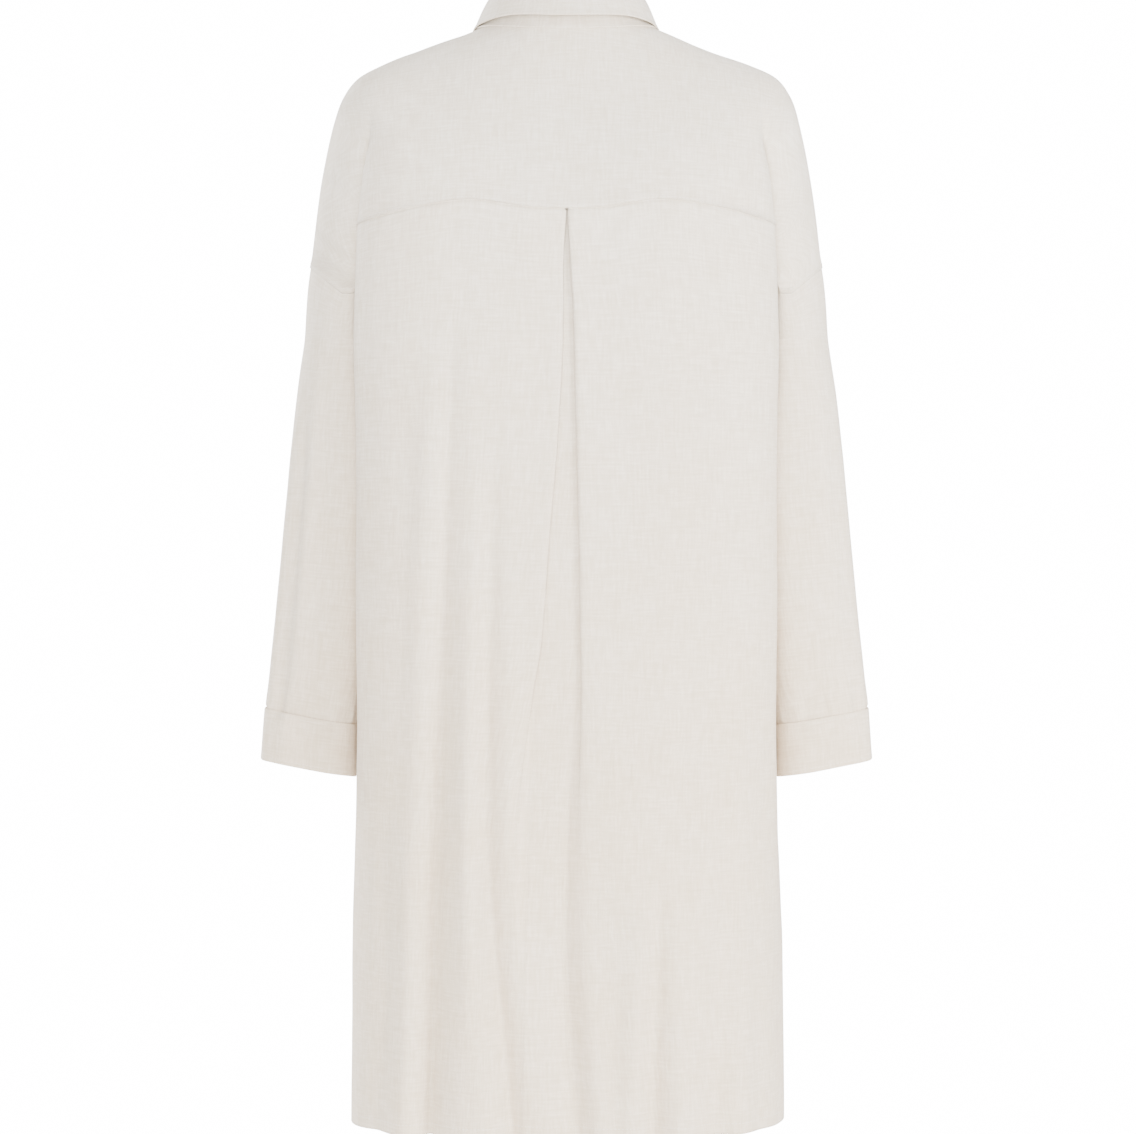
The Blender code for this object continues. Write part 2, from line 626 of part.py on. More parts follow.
def back_row(line, z):
    """One row of the back, from -X to +X: side columns, half the pleat, its floor, and the other half.

    line is the half section on the +X side as x and y, from the centre out.
    """
    halves = []
    for side in (-1, 1):
        x, depth = pleat_offsets(z, side)
        reach = np.abs(x[0])
        start = [reach, np.interp(reach, line[:, 0], line[:, 1])]
        first = int(np.argmax(line[:, 0] > reach + 1e-5))
        columns = share_along(np.concatenate([[start], line[first:]]), BACK_SHARES)
        columns[:, 0] *= side
        near = line[: first + 40]
        pleat = np.column_stack([x, np.interp(np.abs(x), near[:, 0], near[:, 1]) + depth])
        halves.append(np.concatenate([columns[::-1], pleat[1:]]))
    left, right = halves
    closed = float(read(PLEAT, PLEAT_COLUMNS, "closed", z))
    floor = PLEAT_FLOOR_CLOSED * closed + PLEAT_FLOOR_OPEN * (1 - closed)
    middle = [[(left[-1, 0] + right[-1, 0]) / 2, line[0, 1] + floor]]
    return np.concatenate([left, middle, right[::-1]])


def back_grids():
    """Yoke seam to hem, with the box pleat at its centre, and round the sides to the side seams."""
    rows = []
    for row in FOLD_ROWS[:-1]:
        line = half_torso(row, False)
        z_mid = float(np.interp(row, [SEAM_ROW, UNDERARM_ROW], [-0.187, UNDERARM_Z]))
        flat = back_row(line, z_mid)
        shares = np.linspace(0, 1, 241)
        heights = upper_heights(line, row, torso_seam_heights(shares, False), False)
        reach = np.concatenate([[0], np.cumsum(np.linalg.norm(np.diff(line, axis=0), axis=1))])
        place = np.array([nearest_share(line, reach, p) for p in flat])
        rows.append(np.column_stack([flat, np.interp(place, reach, heights)]))
    for z in LOWER_LEVELS:
        section, split = lower_half_section(z, False)
        line = share_along(section, np.linspace(0, split, 241))
        flat = back_row(line, z)
        rows.append(np.column_stack([flat, np.full(len(flat), z)]))
    grid = with_folds(np.array(rows), -1)
    sides = [(with_folds(side_rows(LOWER_LEVELS, False, side), -1), False) for side in (-1, 1)]
    return [(grid, False)] + sides


def nearest_share(line, reach, point):
    """Length along a half section of the place nearest to a point of either half."""
    distance = np.hypot(line[:, 0] - abs(point[0]), line[:, 1] - point[1])
    return reach[int(np.argmin(distance))]


def front_strip(xs):
    """Grid of the front's surface near its centre, from neck to hem, at the distances xs from the centre."""
    rows = []
    for row in np.concatenate([UPPER_ROWS, FOLD_ROWS[1:-1]]):
        line = torso_rows(row, np.linspace(0, 1, 121), True)
        rows.append([(x, *(np.interp(abs(x), line[:, 0], line[:, k]) for k in (1, 2))) for x in xs])
    for z in LOWER_LEVELS:
        section, _ = lower_half_section(z, True)
        rows.append([(x, np.interp(abs(x), section[:60, 0], section[:60, 1]), z) for x in xs])
    return with_folds(np.array(rows), 1)


def front_grid(side, columns_inside):
    """Grid of a front, from its inner columns near the centre to the armpit fold."""
    rows = []
    for row in np.concatenate([UPPER_ROWS, FOLD_ROWS[1:-1]]):
        line = torso_rows(row, np.linspace(0, 1, 241), True)
        rows.append(share_along(cut_line(line, FRONT_START), FRONT_SHARES))
    for z in LOWER_LEVELS:
        section, split = lower_half_section(z, True)
        line = share_along(section, np.linspace(0, split, 241))
        flat = share_along(cut_line(line, FRONT_START), FRONT_SHARES)
        rows.append(np.column_stack([flat, np.full(len(FRONT_SHARES), z)]))
    grid = np.array(rows)
    grid[:, :, 0] *= side
    return np.concatenate([front_strip(columns_inside), with_folds(grid, 1)], axis=1)


def cut_line(line, x):
    """The part of a half section that lies further out than x."""
    start = [np.interp(x, line[:60, 0], line[:60, k]) for k in range(line.shape[1])]
    return np.concatenate([[start], line[int(np.argmax(line[:, 0] > x + 1e-5)):]])


def front_grids(side, columns_inside):
    """A front: neck to hem, over the shoulder to the yoke, and round the side to the side seam."""
    grid = front_grid(side, columns_inside)
    arm = arm_rows(UPPER_ROWS, ARM_FRONT, side)
    beside = with_folds(side_rows(LOWER_LEVELS, True, side), 1)
    return [(grid, False), (arm, False), (beside, False)]


def sleeve_grids(side):
    """A sleeve: from the armhole seam over the arm, closed below the underarm, to the cuff seam."""
    over = arm_rows(FOLD_ROWS, ARM_SHARES, side)
    outer_x = float(read(UPPER, UPPER_COLUMNS, "side_x", UNDERARM_ROW))
    ring = over[-1] * np.array([side, 1, 1])
    outer_angles = np.arctan2(
        -(ring[:, 1] - ARM_CENTRE_Y) / ARM_HALF_DEPTH,
        (ring[:, 0] - outer_x + ARM_HALF_WIDTH) / ARM_HALF_WIDTH,
    )
    inner_angles = np.linspace(-FOLD_ANGLE, -2 * math.pi + FOLD_ANGLE, INNER_ARM_COLUMNS + 2)[1:-1]
    angles = np.concatenate([outer_angles, inner_angles])
    tube = np.array([sleeve_ring(z, angles, side) for z in SLEEVE_LEVELS])
    tube[0, : len(outer_angles)] = over[-1]
    tube[0, len(outer_angles) :, 0] += side * ARM_CLEAR[0]
    return [(over, False), (tube, True)]


def build_cuff(name, side, finish):
    """A cuff: a stiff band, a little wider at its edge, set round the end of the sleeve."""
    angles = np.linspace(0, 2 * math.pi, CUFF_COLUMNS, endpoint=False)
    levels = np.linspace(CUFF_SEAM_Z, CUFF_EDGE_Z, CUFF_ROWS)
    band = np.array([sleeve_ring(z, angles, side) for z in levels])
    band[0, :, 2] -= SEAM_GAP
    return cloth(name, [(band, True)], CUFF_WALL, finish)


def half_loop(keys, shares):
    """A smooth curve through a collar's half loop, read at shares of its length."""
    keys = np.array(keys)
    reach = np.concatenate([[0], np.cumsum(np.linalg.norm(np.diff(keys, axis=0), axis=1))])
    at = np.linspace(0, reach[-1], 200)
    dense = np.column_stack([smooth(reach, keys[:, k], at) for k in range(3)])
    return share_along(dense, shares)


def neck_half(shares):
    """The neck seam from the back centre to the front centre, on the +X side."""
    back = np.array(torso_rows(0, np.linspace(0, 1, 41), False))
    over = arm_rows([0], np.linspace(0, 1, 41), 1)[0]
    front = np.array(torso_rows(0, np.linspace(0, 1, 41), True))[::-1]
    return share_along(np.concatenate([back, over[1:], front[1:]]), shares)


def build_stand(finish):
    """The collar stand: its right end over its left one at the centre front, and round the neck between."""
    low, high = neck_half(STAND_SHARES), half_loop(STAND_TOP, STAND_SHARES)
    low = low + np.array([0, 0, STAND_LIFT])
    step = np.zeros((len(STAND_SHARES), 3))
    step[:, 1] = STAND_STEP * ease(STAND_SHARES, 0.72, 0.97)
    rows = []
    for t in (0.0, 0.5, 1.0):
        half = low * (1 - t) + high * t
        right, left = half + step, mirrored(half) - step
        right_end = right[-1] + np.array([-STAND_LAP, -STAND_LAP_IN, STAND_LAP_UP])
        left_end = left[-1] + np.array([STAND_LAP, -STAND_LAP_IN, STAND_LAP_UP])
        rows.append(np.concatenate([[right_end], right[::-1], left[1:], [left_end]]))
    return cloth("collar_stand", [(np.array(rows), False)], COLLAR_WALL, finish)


def build_fall(finish):
    """The turned-down collar: up from the stand's top, over its roll and down to its edge and points."""
    start = half_loop(STAND_TOP, STAND_SHARES)[: len(FALL_SHARES)]
    start = start + np.array([0, 0, SEAM_GAP + COLLAR_WALL * 0.5])
    top, edge = half_loop(ROLL_TOP, FALL_SHARES), half_loop(FALL_EDGE, FALL_SHARES)
    outward = edge - top
    rows = [start, start * 0.35 + top * 0.65, top]
    for t in FALL_ROWS:
        bow = FALL_BOW * math.sin(math.pi * min(t * 1.15, 1.0))
        rows.append(top + outward * t + np.array([0, 0, bow]))
    half = np.array(rows)
    whole = np.concatenate([mirrored(half)[:, ::-1], half[:, 1:]], axis=1)
    return cloth("collar_fall", [(whole, False)], COLLAR_WALL, finish)


def outward(grid):
    """Outward directions of a grid of points on the front's surface."""
    down, across = np.gradient(grid, axis=0), np.gradient(grid, axis=1)
    normal = np.cross(down, across)
    normal *= np.sign(normal[..., 1:2])
    return normal / np.linalg.norm(normal, axis=2, keepdims=True)


def build_placket(finish):
    """The buttonhole band: the fronts' points beside their edges, moved out over both."""
    half = PLACKET_WIDTH / 2
    strip = front_strip((-half, 0.0, half, half + PLACKET_LAP))
    return cloth("placket", [(strip + outward(strip) * PLACKET_LIFT, False)], CLOTH, finish)


def build_button(name, place, facing, finish):
    """A shirt button: a disc with a rounded rim, its back just clear of the cloth."""
    mesh = bpy.data.meshes.new(name)
    disc = bmesh.new()
    bmesh.ops.create_cone(
        disc, cap_ends=True, segments=16, radius1=BUTTON_RADIUS, radius2=BUTTON_RADIUS, depth=BUTTON_THICK
    )
    disc.to_mesh(mesh)
    disc.free()
    mesh.materials.append(finish)
    button = bpy.data.objects.new(name, mesh)
    bpy.context.scene.collection.objects.link(button)
    rim = button.modifiers.new("Rim", "BEVEL")
    rim.width = BUTTON_RIM
    rim.segments = 1
    turn = facing.to_track_quat("Z", "Y").to_matrix().to_4x4()
    button.matrix_world = Matrix.Translation(place) @ turn
    return button


def build_buttons(finish):
    """Buttons down the placket, evenly spaced from just under the collar."""
    strip = front_strip((-0.001, 0.0, 0.001))
    line, normal = strip[:, 1], outward(strip)[:, 1]
    out = PLACKET_LIFT + CLOTH / 2 + BUTTON_LIFT + BUTTON_THICK / 2
    for i in range(BUTTON_COUNT):
        z = FIRST_BUTTON_Z - i * BUTTON_PITCH
        place = Vector([float(np.interp(-z, -line[:, 2], line[:, k])) for k in range(3)])
        facing = Vector([0] + [float(np.interp(-z, -line[:, 2], normal[:, k])) for k in (1, 2)]).normalized()
        build_button(f"button_{i + 1}", place + facing * out, facing, finish)


def main():
    for thing in list(bpy.data.objects):
        bpy.data.objects.remove(thing)
    linen = material("linen", LINEN, 0.85)
    shell = material("button_shell", BUTTON_SHELL, 0.35)
    half = PLACKET_WIDTH / 2
    shell_panels = {
        "yoke": yoke_grids(),
        "back": back_grids(),
        "front_left": front_grids(-1, (half, 0.0, -half)),
        "front_right": front_grids(1, (half,)),
        "sleeve_left": sleeve_grids(-1),
        "sleeve_right": sleeve_grids(1),
    }
    lookup = facing_lookup([grid for grids in shell_panels.values() for grid in grids])
    for name, grids in shell_panels.items():
        cloth(name, grids, CLOTH, linen, lookup)
    for word, side in (("left", -1), ("right", 1)):
        build_cuff(f"cuff_{word}", side, linen)
    build_stand(linen)
    build_fall(linen)
    build_placket(linen)
    build_buttons(shell)


main()
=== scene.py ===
import math

import bmesh
import bpy
import numpy as np
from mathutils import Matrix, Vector


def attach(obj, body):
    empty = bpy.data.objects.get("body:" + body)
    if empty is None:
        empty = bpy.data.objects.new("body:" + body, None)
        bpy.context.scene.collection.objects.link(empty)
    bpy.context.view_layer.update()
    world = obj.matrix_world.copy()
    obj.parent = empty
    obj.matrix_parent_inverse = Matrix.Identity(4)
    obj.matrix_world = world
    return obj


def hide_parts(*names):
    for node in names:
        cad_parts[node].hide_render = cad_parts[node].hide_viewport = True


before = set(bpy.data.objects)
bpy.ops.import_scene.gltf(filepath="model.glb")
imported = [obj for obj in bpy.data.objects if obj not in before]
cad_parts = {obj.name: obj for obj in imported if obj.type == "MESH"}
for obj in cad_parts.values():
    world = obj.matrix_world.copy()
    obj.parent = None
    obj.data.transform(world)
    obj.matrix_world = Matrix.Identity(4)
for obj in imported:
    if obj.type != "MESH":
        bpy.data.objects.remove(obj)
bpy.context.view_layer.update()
print("frame loaded:", len(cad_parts), "solids")

# Back view of a loose linen shirt dress, worn but empty. Metres, +Z up, the wearer's back faces -Y.
# Every panel is one piece of cloth laid on a surface that is worked out from the tables below.

# The cut, the same as the solids'
cut = {
    "hemZ": -1.042,
    "underarmZ": -0.300,
    "cuffSeamZ": -0.6605,
    "cuffEdgeZ": -0.7105,
    "seamRow": 8.0,  # yoke seam and armhole seam
    "underarmRow": 12.0,
    "armholeFromRow": 5.0,
    "seamIntoFold": 0.93,  # share of the yoke seam where it turns into the armpit fold
    "pleatTopZ": -0.187,
    "foldAngle": math.radians(113),  # where the armpit fold sits on the arm, from straight outward
    "plainAngle": math.radians(54),
    "foldStart": 5.0,
    "foldFull": 7.7,
    "foldLoopAbove": 0.12,  # the torso beside the fold has the body's section up to here over the underarm
    "frontSeamShare": 0.60,
    "frontUnderlap": 0.03,  # share of the arm that the front reaches under the yoke
    "frontUnder": (0.0011, 0.57, 0.64),  # how far it lies in there, and the shares where that ends
    "armWidth": 0.038,
    "armDepth": 0.050,
    "armY": 0.008,
    "tuckSpread": 0.055,
    "tuckFrom": (0.10, 0.17),  # x where the arm begins to press the body in, and where it is full
    "armClear": (0.0018, 0.0046),  # gap between body and sleeve at the underarm, and armClearBy lower
    "armClearBy": 0.04,
    "ownShapeBy": 0.10,  # how far below the underarm the body has its own section
}
cloth = {
    "thick": 0.0008,
    "lap": 0.0010,  # how far a lapped edge stands up, over the width of edgeReach
    "edgeReach": 0.012,
    "sideLap": np.array([0.001, 0.004, 0]),  # inward and back, where the front lies under the back
    "turnIn": 0.0009,  # the yoke's last row goes in by this
    "groove": 0.0014,  # along the back's top, under the yoke's edge
    "grooveAt": 0.02,
    "grooveWide": 0.035,
    "grooveFades": (0.200, 0.170),  # x where it ends, x where it is full
    "neckStill": 1.2,  # rows over which the swells begin at the neck
}
upperRows = {  # loops over the shoulders: row, side x and z, back y and z, front y and z, roundness
    "row": (0, 1, 2, 3, 4, 5, 6, 7, 8, 12),
    "sideX": (0.082, 0.1055, 0.142, 0.176, 0.2025, 0.215, 0.2245, 0.2355, 0.246, 0.2525),
    "sideZ": (-0.001, -0.0106, -0.0252, -0.0373, -0.0518, -0.0705, -0.097, -0.149, -0.2305, -0.3),
    "backY": (0.068, 0.072, 0.079, 0.087, 0.096, 0.104, 0.11, 0.1145, 0.118, 0.122),
    "backZ": (-0.01, -0.026, -0.05, -0.077, -0.104, -0.129, -0.15, -0.169, -0.187, -0.3),
    "frontY": (0.074, 0.08, 0.089, 0.099, 0.108, 0.115, 0.121, 0.126, 0.131, 0.136),
    "frontZ": (-0.075, -0.085, -0.1, -0.116, -0.133, -0.15, -0.168, -0.19, -0.215, -0.3),
    "power": (2.0, 2.05, 2.1, 2.2, 2.35, 2.5, 2.6, 2.6, 2.6, 2.6),
}
lowerRows = {  # body sections from the underarm to the hem
    "z": (-0.15, -0.3, -0.36, -0.453, -0.549, -0.645, -0.72, -0.8, -0.9, -1.042),
    "half": (0.2155, 0.2155, 0.215, 0.2145, 0.2135, 0.2115, 0.2095, 0.207, 0.2055, 0.2068),
    "back": (0.114, 0.122, 0.125, 0.128, 0.13, 0.131, 0.131, 0.131, 0.132, 0.133),
    "front": (0.126, 0.136, 0.139, 0.142, 0.144, 0.145, 0.146, 0.146, 0.147, 0.149),
    "tuck": (0.039, 0.039, 0.0405, 0.04, 0.034, 0.024, 0.013, 0.004, 0.0, 0.0),
    "power": (3.0, 3.0, 3.0, 2.9, 2.9, 2.8, 2.7, 2.6, 2.6, 2.6),
}
sleeveRows = {  # rings from the underarm to the cuff's edge
    "z": (-0.3, -0.36, -0.453, -0.549, -0.62, -0.6605, -0.7105),
    "outerX": (0.2525, 0.2607, 0.2698, 0.2794, 0.2866, 0.2905, 0.2948),
    "width": (0.038, 0.0405, 0.0445, 0.0465, 0.0462, 0.0448, 0.0456),
    "depth": (0.05, 0.0505, 0.05, 0.047, 0.0435, 0.04, 0.041),
    "midY": (0.008, 0.007, 0.007, 0.01, 0.014, 0.017, 0.021),
    "tilt": (0.0, 0.002, 0.004, 0.006, 0.0075, 0.0085, 0.0092),
}
yokeSeam = ((0.0, 0.03, 0.09, 0.14, 0.2), (-0.1872, -0.186, -0.1785, -0.184, -0.197))
frontSeam = ((0, 0.7, 1), (-0.215, -0.230, -0.250))
armhole = (
    (0.0, 0.02, 0.06, 0.11, 0.16, 0.22, 0.32, 0.5, 0.68, 0.84, 1.0),
    (-0.199, -0.238, -0.259, -0.259, -0.2535, -0.2465, -0.2375, -0.23, -0.244, -0.259, -0.25),
)
pleat = {  # the inverted box pleat under the yoke: where its two edges are, and how far it is closed
    "z": (-0.18, -0.235, -0.3, -0.4, -0.51, -0.585, -0.64, -0.73, -0.825, -0.93, -1.042),
    "left": (-0.0003, -0.0035, -0.0045, -0.0085, -0.016, -0.019, -0.025, -0.036, -0.043, -0.046, -0.049),
    "right": (0.0004, 0.0035, 0.0075, 0.009, 0.01, 0.0085, 0.0065, 0.0035, 0.003, 0.006, 0.014),
    "closed": (1.0, 1.0, 1.0, 0.95, 0.85, 0.7, 0.5, 0.2, 0.0, 0.0, 0.0),
    # half of the pleat's path, from the panel in to the floor: distance from the edge and depth
    "shutOut": (0.04, 0.018, 0.004, 0.0, 0.004, 0.014, 0.0175, 0.014, 0.004),
    "shutIn": (0.0, 0.0, 0.0, 0.0013, 0.0026, 0.0026, 0.004, 0.0054, 0.0054),
    "openOut": (0.04, 0.03, 0.022, 0.016, 0.01, 0.005, 0.0, -0.004, -0.008),
    "openIn": (0.0, 0.0002, 0.0012, 0.0027, 0.0042, 0.0056, 0.0069, 0.0079, 0.0086),
    "floorShut": 0.0054,
    "floorOpen": 0.009,
}


def curve(xs, ys, at):  # smooth curve through points, without overshoot (monotone cubic), read at places at
    xs, ys = np.asarray(xs, float), np.asarray(ys, float)
    if xs[0] > xs[-1]:
        xs, ys = xs[::-1], ys[::-1]
    step = np.diff(xs)
    slope = np.diff(ys) / step
    tangent = np.zeros(len(xs))
    tangent[0], tangent[-1] = slope[0], slope[-1]
    for i in range(1, len(xs) - 1):
        if slope[i - 1] * slope[i] > 0:
            a, b = 2 * step[i] + step[i - 1], step[i] + 2 * step[i - 1]
            tangent[i] = (a + b) / (a / slope[i - 1] + b / slope[i])
    at = np.clip(np.asarray(at, float), xs[0], xs[-1])
    i = np.clip(np.searchsorted(xs, at) - 1, 0, len(xs) - 2)
    t = (at - xs[i]) / step[i]
    return (ys[i] * (2 * t**3 - 3 * t**2 + 1) + ys[i + 1] * (3 * t**2 - 2 * t**3)
            + tangent[i] * step[i] * (t**3 - 2 * t**2 + t) + tangent[i + 1] * step[i] * (t**3 - t**2))


def readRow(table, name, at):  # a table's column, read at a place of its first column
    return float(curve(table[next(iter(table))], table[name], at))


def readAll(table, names, at):
    return [readRow(table, name, at) for name in names.split()]


def ease(value, low, high):  # 0 below low, 1 above high
    t = np.clip((np.asarray(value, float) - low) / (high - low), 0, 1)
    return t * t * (3 - 2 * t)


def lengths(points, axis):  # distances between neighbouring points
    return np.linalg.norm(np.diff(points, axis=axis), axis=-1)


def running(values):  # running total from 0
    return np.concatenate([[0], np.cumsum(values)])


def unit(vectors):
    return vectors / np.maximum(np.linalg.norm(vectors, axis=-1, keepdims=True), 1e-12)


def readLine(at, keys, line):  # points of a line where its keys have the values of at
    return np.stack([np.interp(at, keys, line[:, k]) for k in range(line.shape[1])], axis=-1)


def alongLine(line, shares):  # points of a polyline at shares of its length
    reach = running(lengths(line, 0))
    return readLine(np.asarray(shares, float) * reach[-1], reach, line)


fine = np.linspace(0, 1, 481)


def oval(half, back, front, power, angles):  # superellipse, angle 0 at the back centre
    x = half * np.abs(np.sin(angles)) ** (2 / power)
    reach = np.abs(np.cos(angles)) ** (2 / power)
    return np.stack([x, np.where(np.cos(angles) >= 0, -back * reach, front * reach)], axis=1)


def armRing(outerX, angles, width=None, depth=None, midY=None):  # ellipse, angle 0 straight outward
    width, depth = width or cut["armWidth"], depth or cut["armDepth"]
    midY = cut["armY"] if midY is None else midY
    return np.stack([outerX - width + width * np.cos(angles), midY - depth * np.sin(angles)], axis=1)


def bodyLoop(z):  # body section, pressed in where the arm hangs beside it
    half, back, front, tuck, power = readAll(lowerRows, "half back front tuck power", z)
    turn = np.linspace(0, math.pi, 1441)
    loop = oval(half, back, front, power, turn)
    press = tuck * np.exp(-(((loop[:, 1] - cut["armY"]) / cut["tuckSpread"]) ** 2))
    loop[:, 0] = np.maximum(loop[:, 0] - press * ease(loop[:, 0], *cut["tuckFrom"]), 0)
    return loop


def upperValue(name, row):
    return readRow(upperRows, name, row)


def shoulderLoop(row, angles):
    return oval(*readAll(upperRows, "sideX backY frontY power", row), angles)


def foldIn(plain, folded, row):  # the plain line over the shoulder becomes the folded one at the armpit
    weight = float(ease(row, cut["foldStart"], cut["foldFull"]))
    return alongLine(plain, fine) * (1 - weight) + folded * weight


def halfTorso(row, front):  # from the body's centre line out to the armpit fold
    turn = np.linspace(0, cut["plainAngle"], 481)
    z = upperValue("frontZ" if front else "backZ", row)
    loop = bodyLoop(min(z, cut["underarmZ"] + cut["foldLoopAbove"]))
    loop[:, 1] *= upperValue("frontY" if front else "backY", row) / abs(loop[-1 if front else 0, 1])
    angle = cut["foldAngle"]
    fold = armRing(upperValue("sideX", row), np.array([-angle if front else angle]))[0]
    folded = loop[::-1][loop[::-1, 1] >= fold[1]] if front else loop[loop[:, 1] <= fold[1]]
    folded = alongLine(folded, fine)
    folded = folded + (fold - folded[-1]) * (fine**10)[:, None]
    return foldIn(shoulderLoop(row, math.pi - turn if front else turn), folded, row)


def halfArm(row):  # over the arm, from the back fold past the outside to the front fold
    turn = np.linspace(cut["plainAngle"], math.pi - cut["plainAngle"], 481)
    folded = armRing(upperValue("sideX", row), np.linspace(cut["foldAngle"], -cut["foldAngle"], 481))
    return foldIn(shoulderLoop(row, turn), folded, row)


def upperHeight(points, row, seamZ, front):  # neck seam, by share, down to the yoke or armhole seam
    middle = "frontZ" if front else "backZ"
    beside = np.clip(np.abs(points[:, 0]) / upperValue("sideX", row), 0, 1) ** 2
    seamRow = cut["seamRow"]
    neck = upperValue("sideZ", 0) * beside + upperValue(middle, 0) * (1 - beside)
    capped = min(row, seamRow)
    share = [(upperValue(n, capped) - upperValue(n, 0)) / (upperValue(n, seamRow) - upperValue(n, 0))
             for n in ("sideZ", middle)]
    z = neck + (seamZ - neck) * (share[0] * beside + share[1] * (1 - beside))
    below = max(row - seamRow, 0) / (cut["underarmRow"] - seamRow)
    return z * (1 - below) + cut["underarmZ"] * below


def torsoSeam(shares, front):
    if front:
        return curve(*frontSeam, shares)
    x = alongLine(halfTorso(cut["seamRow"], False), shares)[:, 0]
    intoFold = ease(shares, cut["seamIntoFold"], 1.0)
    return curve(*yokeSeam, x) * (1 - intoFold) + armhole[1][0] * intoFold


def torsoRow(row, shares, front):
    flat = alongLine(halfTorso(row, front), shares)
    return np.column_stack([flat, upperHeight(flat, row, torsoSeam(shares, front), front)])


def armSeam(shares, row):  # the armhole's own curve near its row, a plain slope over the shoulder above it
    back, outside, front = (float(np.interp(share, *armhole)) for share in (0.0, 0.5, 1.0))
    plain = back + (outside - back) * ease(shares, 0.0, 0.5) + (front - outside) * ease(shares, 0.5, 1.0)
    weight = float(ease(row, cut["armholeFromRow"], cut["seamRow"]))
    return plain * (1 - weight) + curve(*armhole, shares) * weight


def armGrid(rows, shares, side):
    grid = []
    for row in rows:
        seam = armSeam(shares, row)
        flat = alongLine(halfArm(row), shares)
        behind, before = (upperHeight(flat, row, seam, front) for front in (False, True))
        z = np.where(flat[:, 1] > 0, before, behind)
        grid.append(np.column_stack([side * flat[:, 0], flat[:, 1], z]))
    return np.array(grid)


def clearOfArm(line, z):  # keeps the body's side away from the sleeve beside it
    outerX, width, depth, midY = readAll(sleeveRows, "outerX width depth midY", z)
    near, far = cut["armClear"]
    clear = near + (far - near) * float(ease(z, cut["underarmZ"], cut["underarmZ"] - cut["armClearBy"]))
    away = (line[:, 1] - midY) / (depth + clear)  # from the sleeve's middle, in its depths
    inside = outerX - width - (width + clear) * np.sqrt(np.clip(1 - away**2, 0, None))
    limit = np.where(np.abs(away) < 1, inside, np.inf)
    return np.column_stack([np.minimum(line[:, 0], limit), line[:, 1]])


def lowerSection(z, front):  # from centre to side seam below the underarm, and the fold's share of it
    own = bodyLoop(z)
    own = own[::-1] if front else own
    own = own[own[:, 1] >= cut["armY"]] if front else own[own[:, 1] <= cut["armY"]]
    torso = halfTorso(cut["underarmRow"], front)
    turn = np.linspace(cut["foldAngle"], math.pi, 121)
    arch = armRing(upperValue("sideX", cut["underarmRow"]), -turn if front else turn)
    start = np.concatenate([torso, arch[1:]])
    split = lengths(torso, 0).sum() / lengths(start, 0).sum()
    shares = np.linspace(0, 1, 721)
    weight = float(ease(z, cut["underarmZ"], cut["underarmZ"] - cut["ownShapeBy"]))
    line = alongLine(start, shares) * (1 - weight) + alongLine(own, shares) * weight
    return clearOfArm(line, z), split


def atHeight(line, z):
    return np.column_stack([line, np.full(len(line), z)])


def lowerLine(z, front):  # from centre to the fold's share of the section
    section, split = lowerSection(z, front)
    return atHeight(alongLine(section, fine * split), z)


# How the cloth hangs
hanging = {  # soft folds by panel: x at three heights, those heights, depth, half width, sharpness
    "back": (
        ((-0.105, -0.116, -0.126), (-0.29, -0.66, -1.042), 0.017, 0.015, 0.8),
        ((-0.0671, -0.0735, -0.05), (-0.4, -0.73, -1.042), 0.012, 0.012, 0.7),
        ((-0.17, -0.168, -0.176), (-0.74, -0.9, -1.042), 0.007, 0.012, 0.4),
        ((-0.145, -0.148, -0.152), (-0.3, -0.52, -0.8), 0.0022, 0.016, 0.2),
        ((0.086, 0.081, 0.08), (-0.8, -0.95, -1.042), 0.013, 0.012, 0.7),
        ((0.148, 0.145, 0.136), (-0.62, -0.86, -1.042), 0.0085, 0.014, 0.4),
        ((0.175, 0.178, 0.18), (-0.8, -0.95, -1.042), 0.004, 0.01, 0.3),
        ((0.0045, -0.0005, 0.012), (-0.66, -0.86, -1.042), 0.007, 0.01, 0.7),
        ((0.04, 0.043, 0.049), (-0.74, -0.9, -1.042), 0.0035, 0.012, 0.3),
    ),
    "front": (
        ((-0.062, -0.066, -0.074), (-0.36, -0.7, -1.042), 0.01, 0.015, 0.6),
        ((0.068, 0.065, 0.06), (-0.4, -0.7, -1.042), 0.009, 0.015, 0.6),
        ((-0.14, -0.138, -0.136), (-0.46, -0.75, -1.042), 0.0095, 0.014, 0.6),
        ((0.132, 0.137, 0.142), (-0.42, -0.75, -1.042), 0.0095, 0.014, 0.6),
        ((-0.1, -0.102, -0.106), (-0.7, -0.86, -1.042), 0.006, 0.011, 0.5),
        ((0.1, 0.102, 0.098), (-0.66, -0.84, -1.042), 0.006, 0.011, 0.5),
    ),
}
foldShape = {  # along a fold's width, in its half widths, and as shares of its depth
    "wide": (0.7, 0.5),  # at its top, and added by its lower end
    "steep": 2.6,
    "tip": (0.02, 0.141),  # how round the valley's floor is, and the root of that
    "ridge": (0.42, 1.7, 0.95),  # height of the ridges beside it, their place and their width
    "clear": 0.05,  # it fades towards the sides
}
creasesDown = {  # along the sleeve: angle round it, depths at cuff and elbow, half width
    "angle": np.radians([49, 112, -60, -135]),
    "cuff": (0.0024, 0.0012, 0.0030, 0.0025),
    "elbow": (0.0026, 0.0008, 0.0020, 0.0025),
    "spread": np.radians([11, 18, 18, 20]),
    "leftMore": (3.0, 1.0, 1.0, 1.0),  # the left sleeve's outer crease is the deep one
}
undulation = {  # slow swells in the cloth: size in x, y and z, and height, all in metres
    "broad": ((0.070, 0.070, 0.240), 0.0018, 11),
    "middle": ((0.030, 0.030, 0.110), 0.0006, 23),
    "small": ((0.012, 0.012, 0.030), 0.00016, 37),
}


